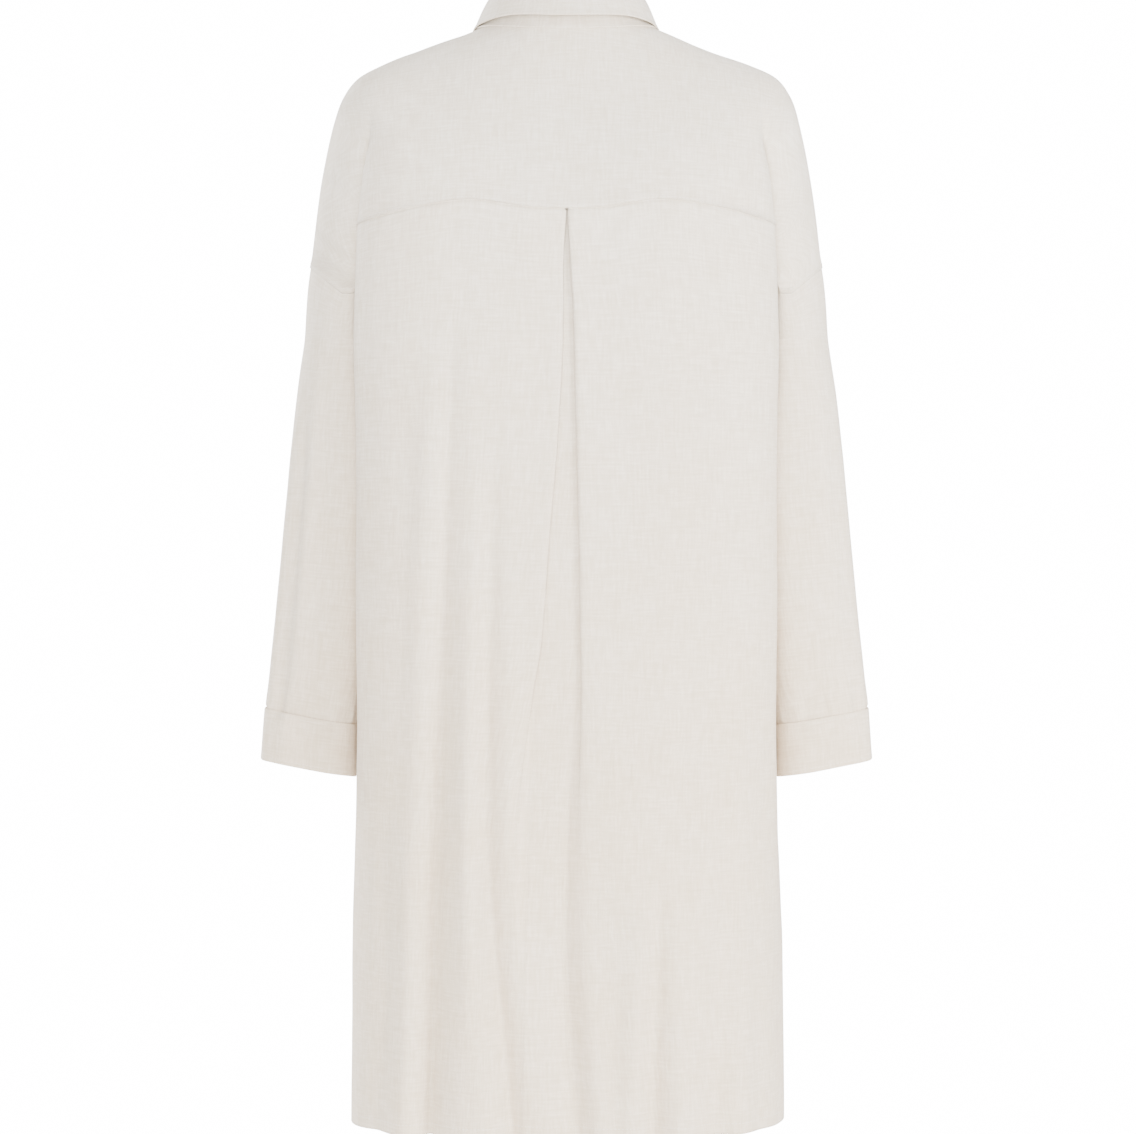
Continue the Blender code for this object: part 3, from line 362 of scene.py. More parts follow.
def noise(points, size, seed):  # smooth value noise on a lattice of cells of the given size, -1 to 1
    table = np.random.default_rng(seed).uniform(-1, 1, 4096)
    q = points / np.asarray(size) + 400.0
    base = np.floor(q).astype(np.int64)
    t = q - base
    t = t**3 * (t * (t * 6 - 15) + 10)
    total = np.zeros(points.shape[:-1])
    for corner in range(8):
        bits = np.array([corner & 1, corner >> 1 & 1, corner >> 2 & 1])
        cell = base + bits
        spot = (cell[..., 0] * 73856093 ^ cell[..., 1] * 19349663 ^ cell[..., 2] * 83492791) & 4095
        weight = np.prod(np.where(bits, t, 1 - t), axis=-1)
        total += table[spot] * weight
    return total


def hang(points, side):  # pushes a body panel in along its hanging folds and out a little beside them
    moved = points.copy()
    fromSeam = ease(np.abs(points[..., 1] - cut["armY"]), 0.0, foldShape["clear"])
    (atTop, added), (rounding, root) = foldShape["wide"], foldShape["tip"]
    ridge, ridgeAt, ridgeWide = foldShape["ridge"]
    for xs, zs, depth, width, sharp in hanging["front" if side > 0 else "back"]:
        down = np.clip((points[..., 2] - zs[0]) / (zs[2] - zs[0]), 0, 1)
        if zs[2] > cut["hemZ"]:  # a fold that dies away before the hem
            down = down * ease(points[..., 2], zs[2], zs[1])
        away = (points[..., 0] - curve(zs, xs, points[..., 2])) / (width * (atTop + added * down))
        narrow = np.exp(-foldShape["steep"] * (np.sqrt(away**2 + rounding) - root))
        shape = sharp * narrow + (1 - sharp) * np.exp(-(away**2))
        shape -= ridge * np.exp(-(((np.abs(away) - ridgeAt) / ridgeWide) ** 2))
        moved[..., 1] -= side * depth * down**0.7 * shape * fromSeam
    return moved


def swell(points):  # height of the cloth above its plain surface
    height = np.zeros(points.shape[:-1])
    for size, amount, seed in undulation.values():
        height += amount * noise(points, size, seed)
    return height


def facing(grid, closed=False):  # outward, where rows go down and columns along +X as seen from behind
    across = np.roll(grid, -1, axis=1) - np.roll(grid, 1, axis=1) if closed else np.gradient(grid, axis=1)
    return unit(np.cross(np.gradient(grid, axis=0), across))


def swelled(grid, outward=1, share=1.0):
    return grid + facing(grid) * outward * (swell(grid) * share)[..., None]


# Making meshes
def addObject(name, data):
    piece = bpy.data.objects.new(name, data)
    bpy.context.scene.collection.objects.link(piece)
    return piece


def gridFaces(rows, columns, first, closed=False):
    index = first + np.arange(rows * columns).reshape(rows, columns)
    ahead = np.roll(index, -1, axis=1) if closed else index[:, 1:]
    here = index if closed else index[:, :-1]
    return np.stack([here[:-1], here[1:], ahead[1:], ahead[:-1]], axis=-1).reshape(-1, 4)


def meshPiece(name, points, faces, material, uvs=None, weld=0.0):  # joins points nearer than weld
    mesh = bpy.data.meshes.new(name)
    mesh.from_pydata(points.reshape(-1, 3).tolist(), [], faces)
    if uvs is not None:
        mesh.uv_layers.new(name="cut").data.foreach_set("uv", uvs.reshape(-1))
    sheet = bmesh.new()
    sheet.from_mesh(mesh)
    if weld:
        bmesh.ops.remove_doubles(sheet, verts=sheet.verts, dist=weld)
    bmesh.ops.recalc_face_normals(sheet, faces=sheet.faces)
    sheet.to_mesh(mesh)
    sheet.free()
    mesh.materials.append(material)
    mesh.shade_smooth()
    return addObject(name, mesh)


def makeMesh(name, grids, uvs, material, closed=False):
    faces, first = [], 0
    for grid in grids:
        faces.append(gridFaces(*grid.shape[:2], first, closed))
        first += grid.shape[0] * grid.shape[1]
    faces = np.concatenate(faces)
    points = np.concatenate([grid.reshape(-1, 3) for grid in grids])
    flat = np.concatenate([uv.reshape(-1, 2) for uv in uvs])
    return meshPiece(name, points, faces.tolist(), material, flat[faces.reshape(-1)], 4e-6)


def faceOut(piece, point, direction):  # turns a panel so that its face near point looks along direction
    mesh = piece.data
    centres, normals = np.empty((2, len(mesh.polygons) * 3))
    mesh.polygons.foreach_get("center", centres)
    mesh.polygons.foreach_get("normal", normals)
    nearest = np.argmin(np.linalg.norm(centres.reshape(-1, 3) - point, axis=1))
    if normals.reshape(-1, 3)[nearest] @ np.asarray(direction) < 0:
        mesh.flip_normals()


def wall(piece, thick, offset=-1.0):
    solid = piece.modifiers.new("Cloth", "SOLIDIFY")
    solid.thickness, solid.offset, solid.use_rim = thick, offset, True


def uvOf(grid):  # cut coordinates in metres: running means of the steps along the rows and down the columns
    u, v = running(lengths(grid, 1).mean(axis=0)), running(lengths(grid, 0).mean(axis=1))
    return np.stack(np.meshgrid(u, -v), axis=-1)


def grainUv(grid, weft, centre=0):
    # Cut coordinates with a straight grain. The threads across run along weft, laid into the surface, or
    # level where it is None. Each step along a row is split into its two parts, and these are summed from
    # one column outward
    normal = facing(grid)
    if weft is None:
        along = unit(np.array([0.0, 0.0, 1.0]) - normal[..., 2:] * normal)
        across = np.cross(normal, along)
        across *= 1 if across[..., 0].mean() > 0 else -1
    else:
        across = unit(np.array(weft) - (normal @ np.array(weft))[..., None] * normal)
        along = np.cross(normal, across)
        along *= 1 if along[..., 2].mean() > 0 else -1
    step = np.diff(grid, axis=1)
    starts = (np.zeros(len(grid)), -running(lengths(grid[:, centre], 0)))
    out = []
    for field, start in zip((across, along), starts):
        part = (step * (field[:, 1:] + field[:, :-1]) / 2).sum(axis=2)
        total = np.concatenate([np.zeros((len(grid), 1)), np.cumsum(part, axis=1)], axis=1)
        out.append(total - total[:, centre:centre + 1] + start[:, None])
    return np.stack(out, axis=-1)


# Cloths and finishes
def linear(hexColour):  # sRGB hex to linear light
    value = np.array([int(hexColour[i:i + 2], 16) for i in (1, 3, 5)]) / 255
    return (*np.where(value <= 0.04045, value / 12.92, ((value + 0.055) / 1.055) ** 2.4), 1.0)


def fill(tree, node, values):  # settings, plain values of inputs, and inputs that other nodes feed
    for key, value in values.items():
        if isinstance(value, bpy.types.NodeSocket):
            tree.links.new(value, node.inputs[key])
        elif isinstance(key, str) and hasattr(node, key):
            setattr(node, key, value)
        else:
            node.inputs[key].default_value = value
    return node


def addNode(tree, kind, values=None):
    return fill(tree, tree.nodes.new(kind), values or {})


def blend(tree, a, b, factor, mode="MIX"):
    return addNode(tree, "ShaderNodeMix", {
        "data_type": "RGBA", "blend_type": mode, 0: factor, 6: a, 7: b}).outputs[2]


def newMaterial(name):
    material = bpy.data.materials.new(name)
    material.use_nodes = True
    return material, material.node_tree, material.node_tree.nodes["Principled BSDF"]


linenLook = {
    "pale": "#f4ecdf",  # top of the threads
    "shade": "#d8ccba",  # between the threads
    "slub": "#cdbfa9",  # thick, darker slubs
    "thin": "#fbf6ec",  # thin, pale places
    "paintedShadeTint": "#f0dfc8",  # painted shade: a warm, darker tint laid over the lower cloth, standing in for how it looks where it hangs single against the light
    "threadMm": 0.85,  # drawn a little coarser than the 0.6 mm of the real cloth, or it would not show
    "slubMm": (1.9, 20.0),  # width and length of a slub
    "patchMm": (4.5, 40.0),  # bundles of thicker yarn
    # colour, field, where in the field it begins and is full, and how much of it there is at most
    "streaks": (("slub", "slubMm", 0.98, 1.50, 0.70), ("thin", "slubMm", 1.02, 0.50, 0.58),
                ("slub", "patchMm", 0.95, 1.50, 0.55)),
    "paintedShadeFrom": (-0.15, -0.70, 0.55),  # heights where the painted shade begins and is full, and how much
    "reliefMm": 0.20,
    "crumple": (0.018, 0.060, 0.0018),  # metres across and along a crumple, and its height near the hem
    "crumpleTurn": 0.12,
    "crumpleFrom": (-0.05, -0.95, 0.75),
    "surface": {"Roughness": 0.88, "IOR": 1.5, "Specular IOR Level": 0.25, "Sheen Weight": 0.25,
                "Sheen Roughness": 0.5},
}


def wovenLinen(name, look):
    # Plain-weave linen: matt, slubby yarn in a fine cross hatch, with darker and paler streaks both ways
    material, tree, shader = newMaterial(name)
    placed = addNode(tree, "ShaderNodeUVMap", {"uv_map": "cut"}).outputs["UV"]

    def reckon(operation, *values):
        values = {"operation": operation, **dict(enumerate(values))}
        return addNode(tree, "ShaderNodeMath", values).outputs[0]

    def between(source, low, high, most=1.0):  # 0 at low, most at high
        return addNode(tree, "ShaderNodeMapRange", {
            "Value": source, "From Min": low, "From Max": high, "To Max": most}).outputs[0]

    def stretched(values, noise):  # noise on drawn-out coordinates
        drawn = addNode(tree, "ShaderNodeMapping", {**values, "Vector": placed}).outputs["Vector"]
        return addNode(tree, "ShaderNodeTexNoise", {"Scale": 1.0, **noise, "Vector": drawn}).outputs["Fac"]

    def streaks(sizes):  # noise drawn out along the warp, and along the weft, added up
        fields = []
        for long in (0, 1):
            scale = [1000 / sizes[0], 1000 / sizes[0], 1.0]
            scale[long] = 1000 / sizes[1]
            fields.append(stretched({"Scale": scale, "Location": (3.1 * long, 0, 0)},
                                    {"Detail": 2.0, "Roughness": 0.55}))
        return reckon("ADD", *fields)

    # A wave texture repeats every 2 pi / 20 of its scaled coordinate
    threads = [addNode(tree, "ShaderNodeTexWave", {
        "wave_type": "BANDS", "bands_direction": direction, "wave_profile": "SIN", "Distortion": 1.2,
        "Scale": 1000 / look["threadMm"] * 2 * math.pi / 20, "Detail": 2.0, "Detail Scale": 0.35,
        "Vector": placed}).outputs["Fac"] for direction in ("X", "Y")]
    weave = reckon("MULTIPLY", *threads)
    fields = {size: streaks(look[size]) for size in ("slubMm", "patchMm")}
    colour = blend(tree, linear(look["shade"]), linear(look["pale"]), weave)
    for tint, field, *span in look["streaks"]:
        colour = blend(tree, colour, linear(look[tint]), between(fields[field], *span))
    cloud = addNode(tree, "ShaderNodeTexNoise", {"Scale": 14.0, "Detail": 3.0, "Vector": placed}).outputs[0]
    place = addNode(tree, "ShaderNodeTexCoord").outputs["Object"]
    height = addNode(tree, "ShaderNodeSeparateXYZ", {0: place}).outputs["Z"]
    # painted shade: the cloth is tinted warmer and darker lower down, with a little random cloud in it
    paintedShadeMask = reckon("MULTIPLY_ADD", cloud, 0.5, between(height, *look["paintedShadeFrom"]))
    colour = blend(tree, colour, linear(look["paintedShadeTint"]), between(paintedShadeMask, 0.2, 0.9, 0.55), "MULTIPLY")
    relief = reckon("MULTIPLY_ADD", fields["slubMm"], 0.9, weave)
    bump = addNode(tree, "ShaderNodeBump", {
        "Distance": look["reliefMm"] / 1000, "Strength": 0.9, "Height": relief}).outputs["Normal"]
    wide, long, high = look["crumple"]
    crumples = stretched({"Scale": (1 / wide, 1 / long, 1.0), "Rotation": (0, 0, look["crumpleTurn"])},
                         {"Detail": 3.0, "Roughness": 0.6, "Distortion": 0.7})
    amount = reckon("ADD", between(height, *look["crumpleFrom"]), 0.25)
    soft = addNode(tree, "ShaderNodeBump", {
        "Distance": high, "Strength": 1.0, "Height": reckon("MULTIPLY", crumples, amount), "Normal": bump})
    fill(tree, shader, {**look["surface"], "Base Color": colour, "Normal": soft.outputs["Normal"]})
    return material


def clouded(name, noise, colours, surface):  # two colours mixed by noise
    material, tree, shader = newMaterial(name)
    where = addNode(tree, "ShaderNodeTexCoord").outputs["Object"]
    cloud = addNode(tree, "ShaderNodeTexNoise", {**noise, "Vector": where}).outputs["Fac"]
    fill(tree, shader, {**surface, "Base Color": blend(tree, *map(linear, colours), cloud)})
    return material


linen = wovenLinen("wovenLinen", linenLook)
# Cotton sewing thread: a matt twist, a shade warmer than the cloth
thread = clouded("spunThread", {"Scale": 2500.0, "Detail": 1.0}, ("#e0d6ca", "#efe8df"), {"Roughness": 0.8})
# Polished mother-of-pearl look: pale, cloudy, with a soft shine
shell = clouded("shellButton", {"Scale": 320.0, "Detail": 4.0, "Distortion": 1.5}, ("#e2dacb", "#f3efe6"),
                {"Roughness": 0.28, "IOR": 1.53, "Coat Weight": 0.3, "Coat Roughness": 0.2})
print("finishes made")


# The panels
pitch = {  # points along rows and columns of each panel
    "upperRows": 78, "torsoColumns": 70, "armColumns": 60, "lowerRows": 220, "backColumns": 60,
    "pleatColumns": 22, "sideColumns": 14, "frontColumns": 62, "sleeveRows": 104, "innerColumns": 34,
    "underLap": 0.16,  # rows that the back and the sleeves reach under the yoke
    "edgeRow": 0.02,  # rows between the yoke's last two
}
armShares = np.linspace(0, 1, pitch["armColumns"])
torsoShares = np.linspace(0, 1, pitch["torsoColumns"])
levels = np.linspace(cut["underarmZ"], cut["hemZ"], pitch["lowerRows"])
frontRows = np.concatenate([np.linspace(0, cut["seamRow"], pitch["upperRows"]),
                            np.linspace(cut["seamRow"], cut["underarmRow"], 30)[1:-1]])


def mirrorX(grid):
    return grid * np.array([-1.0, 1.0, 1.0])


def raiseEdge(grid, normal):  # lifts a band beside the last row, by the distance to it along each column
    step = lengths(grid, 0)
    fromEdge = np.concatenate([np.cumsum(step[::-1], axis=0)[::-1], np.zeros((1, grid.shape[1]))])
    return grid + normal * (cloth["lap"] * (1 - ease(fromEdge, 0.0, cloth["edgeReach"])))[..., None]


def makeYoke():
    armPart = armShares[armShares <= cut["frontSeamShare"] + 0.004]
    rows = np.append(np.linspace(0, cut["seamRow"] - pitch["edgeRow"], pitch["upperRows"]), cut["seamRow"])
    half = np.array([np.concatenate([torsoRow(row, torsoShares, False), armGrid([row], armPart, 1)[0][1:]])
                     for row in rows])
    grid = np.concatenate([mirrorX(half)[:, ::-1], half[:, 1:]], axis=1)
    grid = swelled(grid, 1, ease(rows, 0.0, cloth["neckStill"])[:, None])
    out = facing(grid)
    grid = raiseEdge(grid, out)
    grid[-1] -= out[-1] * cloth["turnIn"]
    return grid


def pleatPath(z, side, count):
    shut = readRow(pleat, "closed", z)
    paths = [np.array(pleat["shut" + way]) * shut + np.array(pleat["open" + way]) * (1 - shut)
             for way in ("Out", "In")]
    out, deep = (curve(range(9), path, np.linspace(0, 8, count)) for path in paths)
    return readRow(pleat, "left" if side < 0 else "right", z) + side * out, deep


def cutLine(line, x, near=200):  # the line from its point at x outward
    return np.concatenate([[readLine(x, line[:near, 0], line[:near])],
                           line[int(np.argmax(line[:, 0] > x + 1e-5)):]])


def backRow(line, z):  # -X side columns, half the pleat, its floor, the other half and its side columns
    halves = []
    for side in (-1, 1):
        x, deep = pleatPath(z, side, pitch["pleatColumns"])
        outer = cutLine(line, abs(x[0]), len(line))
        outer = alongLine(outer, np.linspace(0, 1, pitch["backColumns"])) * np.array([side, 1, 1])
        near = line[: int(np.argmax(line[:, 0] > abs(x[0]) + 1e-5)) + 80]
        inner = readLine(np.abs(x), near[:, 0], near)
        inner[:, 0] = x
        inner[:, 1] += deep
        halves.append(np.concatenate([outer[::-1], inner[1:]]))
    left, right = halves
    shut = readRow(pleat, "closed", z)
    floor = left[-1].copy()
    floor[0] = (left[-1, 0] + right[-1, 0]) / 2
    floor[1] = line[0, 1] + pleat["floorShut"] * shut + pleat["floorOpen"] * (1 - shut)
    return np.concatenate([left, [floor], right[::-1]])


def sideGrid(front, side):
    grid = []
    for z in levels:
        section, split = lowerSection(z, front)
        points = alongLine(section, np.linspace(split, 1, pitch["sideColumns"]))
        grid.append(atHeight(points * np.array([side, 1]), z))
    return hang(np.array(grid), 1 if front else -1)


def weldColumns(a, columnA, rows, b, columnB):  # makes some rows of a and all of b share a column
    a[rows, columnA] = b[:, columnB] = (a[rows, columnA] + b[:, columnB]) / 2


def makeBack():
    seamRow, underRow = cut["seamRow"], cut["underarmRow"]
    atSeam = [-pitch["underLap"], -0.03, 0.0, 0.03, 0.06, 0.10, 0.16]
    topRows = seamRow + np.append(atSeam, np.linspace(0.24, underRow - seamRow, 27)[:-1])
    rows = []
    for row in topRows:
        z = float(np.interp(row, [seamRow, underRow], [cut["pleatTopZ"], cut["underarmZ"]]))
        rows.append(backRow(torsoRow(row, fine, False), z))
    rows += [backRow(lowerLine(z, False), z) for z in levels]
    grid = hang(np.array(rows), -1)
    height = swell(grid)
    top = slice(0, len(topRows))
    groove = np.exp(-(((topRows - seamRow - cloth["grooveAt"]) / cloth["grooveWide"]) ** 2))[:, None]
    height[top] -= cloth["groove"] * groove * ease(np.abs(grid[top, :, 0]), *cloth["grooveFades"])
    grid = grid + facing(grid) * height[..., None]
    sides = [swelled(sideGrid(False, side), side) for side in (-1, 1)]
    for column, part in zip((0, -1), sides):
        weldColumns(grid, column, slice(len(topRows), None), part, 0)
    return [grid, *sides]


def frontStrip(xs):
    lines = [torsoRow(row, np.linspace(0, 1, 241), True) for row in frontRows]
    lines += [atHeight(lowerSection(z, True)[0][:160], z) for z in levels]
    grid = np.array([readLine(np.abs(xs), line[:, 0], line) for line in lines])
    grid[:, :, 0] = xs
    return hang(grid, 1)


def makeFront(side, innerXs):
    lines = [torsoRow(row, fine, True) for row in frontRows]
    lines += [lowerLine(z, True) for z in levels]
    shares = np.linspace(0, 1, pitch["frontColumns"])
    grid = np.array([alongLine(cutLine(line, placket["panelFrom"]), shares) for line in lines])
    grid[:, :, 0] *= side
    grid = np.concatenate([frontStrip(innerXs), hang(grid, 1)], axis=1)
    armPart = armShares[armShares >= cut["frontSeamShare"] - cut["frontUnderlap"]]
    arm = armGrid(frontRows[: pitch["upperRows"]], armPart, side)
    beside = sideGrid(True, side)
    tail = beside[:, -1:] + cloth["sideLap"] * np.array([-side, -1, 0])
    beside = swelled(np.concatenate([beside, tail], axis=1), -side)
    still = np.concatenate([ease(frontRows, 0.0, cloth["neckStill"]), np.ones(len(levels))])[:, None]
    grid = swelled(grid, -side, still)
    armOut = facing(arm) * side
    deep, *span = cut["frontUnder"]
    under = deep * (1 - ease(armPart, *span))
    arm = arm + armOut * (swell(arm) * still[: len(arm)] - under)[..., None]
    arm = raiseEdge(arm, armOut)
    weldColumns(grid, -1, slice(0, pitch["upperRows"]), arm, -1)
    weldColumns(grid, -1, slice(len(frontRows), None), beside, 0)
    return [grid, arm, beside]


sleeveShape = {
    "flatter": 1.1,  # added to the section's power from the underarm down, since the sleeve lies flat there
    "gather": 0.0009,  # cloth taken in at the cuff, and over what height
    "gatherBy": 0.020,
    "tuck": 0.0007,  # the sleeve's end goes in between the cuff's layers
    "tuckBy": 0.0045,
    "tuckAt": 0.002,
    "endBelow": 0.004,  # how far below the cuff's seam it stops
    "cuffCreasesFrom": 0.05,  # below the underarm
    "elbowFrom": (0.02, 0.14),  # below the underarm: where the elbow's creases begin and are full
    "onCuff": (0.004, 0.012, 0.25),  # span about the cuff's seam, and the share of them on the cuff
}


def sleeveRing(z, angles, side):
    outerX, width, depth, midY, tilt = readAll(sleeveRows, "outerX width depth midY tilt", z)
    ring = armRing(outerX, angles, width, depth, midY)
    middle = np.array([outerX - width, midY])
    under, seam = cut["underarmZ"], cut["cuffSeamZ"]
    down = ease(z, under - sleeveShape["cuffCreasesFrom"], seam)
    above, below, onCuff = sleeveShape["onCuff"]
    onSleeve = 1 - (1 - onCuff) * ease(z, seam + above, seam - below)
    start, full = (under - drop for drop in sleeveShape["elbowFrom"])
    push = np.zeros(len(angles))
    for angle, cuffDeep, elbowDeep, spread, leftMore in zip(*creasesDown.values()):
        away = np.angle(np.exp(1j * (angles - angle))) / spread
        deep = elbowDeep * ease(z, start, full) * (1 - down) + cuffDeep * down
        push += deep * np.exp(-(away**2)) * (leftMore if side < 0 else 1.0)
    gather = sleeveShape["gather"] * np.exp(-(((z - seam) / sleeveShape["gatherBy"]) ** 2)) * (z > seam)
    push += gather * (np.sin(angles * 17) + 0.6 * np.sin(angles * 29 + 1.0))
    # a superellipse of power n, whose radius is (|cos a|^n + |sin a|^n)^(-1 / n)
    power = 2 + sleeveShape["flatter"] * ease(z, under, full)
    flat = (np.abs(np.cos(angles)) ** power + np.abs(np.sin(angles)) ** power) ** (-1 / power)
    ring = middle + (ring - middle) * (flat * (1 - onSleeve * push / width))[:, None]
    return np.column_stack([side * ring[:, 0], ring[:, 1], z + tilt * np.cos(angles)])


def makeSleeve(side):
    rows = np.linspace(cut["seamRow"] - pitch["underLap"], cut["underarmRow"], 36)
    over = armGrid(rows, armShares, side)
    outerX = upperValue("sideX", cut["underarmRow"])
    across = (side * over[-1, :, 0] - outerX + cut["armWidth"]) / cut["armWidth"]
    outer = np.arctan2((cut["armY"] - over[-1, :, 1]) / cut["armDepth"], across)
    inner = np.linspace(-cut["foldAngle"], -2 * math.pi + cut["foldAngle"], pitch["innerColumns"])[1:-1]
    angles = np.concatenate([outer, inner])
    heights = np.linspace(cut["underarmZ"], cut["cuffSeamZ"] - sleeveShape["endBelow"], pitch["sleeveRows"])
    tube = np.array([sleeveRing(z, angles, side) for z in heights])
    tube[0, : len(outer)] = over[-1]
    overOut, tubeOut = facing(over) * side, facing(tube, True) * side
    overOut[-1] = tubeOut[0, : len(outer)]
    over = over + overOut * swell(over)[..., None]
    tube = tube + tubeOut * swell(tube)[..., None]
    nearCuff = (heights - cut["cuffSeamZ"] + sleeveShape["tuckAt"]) / sleeveShape["tuckBy"]
    tube = tube - tubeOut * (sleeveShape["tuck"] * np.exp(-(nearCuff**2)))[:, None, None]
    tube[0, : len(outer)] = over[-1]
    return over, tube


# Sewing thread: each stitch is a small spindle laid on the cloth
stitch = {
    "long": 0.0026, "pitch": 0.0036, "radius": 0.00030, "lift": 0.00012,
    # rings of a spindle: place along it, share of the radius, height; both ends sink into the cloth
    "rings": ((0.0, 0.15, -0.6), (0.2, 0.85, 0.1), (0.5, 1.0, 0.35), (0.8, 0.85, 0.1), (1.0, 0.15, -0.6)),
}


def stitchRow(name, path, out):  # path is points on the cloth, out the outward directions there
    reach = running(lengths(path, 0))
    count = max(int(reach[-1] / stitch["pitch"]), 2)
    starts = (np.arange(count) + 0.2) * reach[-1] / count
    ends = starts + stitch["long"]
    a, b = readLine(starts, reach, path), readLine(ends, reach, path)
    up = unit(readLine((starts + ends) / 2, reach, out))
    across = np.cross(unit(b - a), up)
    rings = np.array(stitch["rings"])
    turn = np.linspace(0, 2 * math.pi, 5, endpoint=False)
    height = stitch["lift"] + stitch["radius"] * rings[:, 2]
    centre = a[:, None] + (b - a)[:, None] * rings[:, 0, None] + up[:, None] * height[:, None]
    circle = stitch["radius"] * rings[:, 1, None, None]
    points = (centre[:, :, None] + across[:, None, None] * circle * np.cos(turn)[:, None]
              + up[:, None, None] * circle * np.sin(turn)[:, None])
    first = (np.arange(count) * 25)[:, None, None]
    sides = (gridFaces(5, 5, 0, True)[None] + first).reshape(-1, 4)
    caps = (np.array([[4, 3, 2, 1, 0], [20, 21, 22, 23, 24]])[None] + first).reshape(-1, 5)
    return meshPiece(name, points, sides.tolist() + caps.tolist(), thread)


stitches = {}


def sew(key, name, grid, row, outward=1.0):  # stitches along a grid at a row that may lie between two rows
    low = int(np.floor(row))
    path, out = (field[low] * (low + 1 - row) + field[low + 1] * (row - low)
                 for field in (grid, facing(grid) * outward))
    stitches.setdefault(key, []).append(stitchRow(name, path, out))


# Collar: keys of half loops, back centre to front, and how the cloth is rolled
collar = {
    "standTop": ((0.0, -0.054, 0.029), (0.04, -0.043, 0.0285), (0.064, -0.006, 0.027),
                 (0.061, 0.026, 0.01), (0.043, 0.05, -0.021), (0.02, 0.061, -0.042),
                 (0.0, 0.064, -0.048)),
    "rollTop": ((0.0, -0.0575, 0.036), (0.043, -0.046, 0.036), (0.068, -0.006, 0.0345),
                (0.065, 0.028, 0.0175), (0.046, 0.0535, -0.013), (0.013, 0.067, -0.039)),
    "fallEdge": ((0.0, -0.08, -0.0022), (0.056, -0.062, 0.0012), (0.0785, -0.039, -0.0008),
                 (0.0885, -0.008, -0.0026), (0.093, 0.04, -0.02), (0.082, 0.083, -0.07),
                 (0.056, 0.1, -0.103)),
    "thick": 0.0016,
    "soften": (0.0005, 50),  # width of the bevel at its edges, and from how sharp an edge, in degrees
    "standDown": 0.2,  # rows that the stand's edge reaches over the body's neck edge
    "standOut": 0.0011,
    "standLap": (0.0145, 0.001, -0.0026),  # how its ends reach past the centre
    "standRound": 0.12,
    "standStep": 0.0012,
    "fallStart": 0.93,
    "fallAbove": 0.0011,
    "fallBow": 0.0042,
}


def halfLoop(keys, shares):
    keys = np.array(keys)
    keys = np.concatenate([mirrorX(keys[:0:-1]), keys])
    reach = running(lengths(keys, 0))
    at = np.linspace(0, reach[-1], 801)
    dense = np.column_stack([curve(reach, keys[:, k], at) for k in range(3)])
    for _ in range(400):  # takes the corners out of the keys' curve
        dense[1:-1] = (dense[:-2] + 2 * dense[1:-1] + dense[2:]) / 4
    return alongLine(dense[400:], shares)


def neckHalf(shares, row=0.0):
    some = np.linspace(0, 1, 81)
    back, front = torsoRow(row, some, False), torsoRow(row, some, True)[::-1]
    over = armGrid([row], some, 1)[0]
    return alongLine(np.concatenate([back, over[1:], front[1:]]), shares)


def makeStand():
    shares = np.linspace(0, 1, 90)
    neck, below = neckHalf(shares), neckHalf(shares, collar["standDown"])
    high = halfLoop(collar["standTop"], shares)
    out = unit(np.cross(below - neck, np.gradient(neck, axis=0))) * collar["standOut"]
    neck, below = neck + out, below + out
    step = (collar["standStep"] * ease(shares, 0.72, 0.97))[:, None] * np.array([0, 1, 0])
    rows = []
    for t in np.concatenate([[-1.0, -0.66, -0.33], np.linspace(0, 1, 14)]):
        half = neck + (high - neck) * t if t >= 0 else neck - (below - neck) * t
        right, left = half + step, mirrorX(half) - step
        past = np.linspace(0, 1, 8)[1:, None]
        ahead, back, down = collar["standLap"]
        lap = np.array([ahead * (1 - collar["standRound"] * max(t, 0) ** 4), back, down])
        rightEnd = right[-1] - past * lap
        leftEnd = left[-1] + past * lap * np.array([1, -1, -1])
        rows.append(np.concatenate([rightEnd[::-1], right[::-1], left[1:], leftEnd]))
    grid = np.array(rows)[::-1]
    for _ in range(2):  # softens the turn at the neck seam
        grid[1:-1] = (grid[:-2] + 2 * grid[1:-1] + grid[2:]) / 4
    return grid


def makeFall():
    shares = np.linspace(0, 1, 96)
    start = halfLoop(collar["standTop"], shares * collar["fallStart"])
    start = start + np.array([0, 0, collar["fallAbove"]])
    top, edge = halfLoop(collar["rollTop"], shares), halfLoop(collar["fallEdge"], shares)
    rows = [start * (1 - t) + top * t for t in np.linspace(0, 0.75, 6)]
    for t in np.linspace(0, 1, 34)[1:]:
        bow = collar["fallBow"] * math.sin(math.pi * min(t * 1.15, 1.0))
        rows.append(top + (edge - top) * t + np.array([0, 0, bow]))
    half = np.array(rows)
    for _ in range(3):  # rounds the roll
        half[3:14] = (half[2:13] + 2 * half[3:14] + half[4:15]) / 4
    grid = np.concatenate([mirrorX(half)[:, ::-1], half[:, 1:]], axis=1)
    weight = np.concatenate([np.zeros(8), ease(np.linspace(0, 1, 31), 0, 0.6)])
    small = 0.5 * swell(grid * 1.4)  # smaller, lower swells than the panels have
    return grid + facing(grid) * (small * weight[:, None])[..., None]


# Placket and buttons
placket = {"half": 0.015, "lap": 0.004, "lift": 0.0012, "thick": 0.0012, "panelFrom": 0.024}
buttons = {
    "radius": 0.0058, "thick": 0.0024, "firstZ": -0.115, "pitch": 0.105, "count": 8, "lift": 0.0004,
    "rim": 0.0011, "dish": 0.0007, "holeRing": 0.0017, "holeRadius": 0.00062, "sides": 40,
}


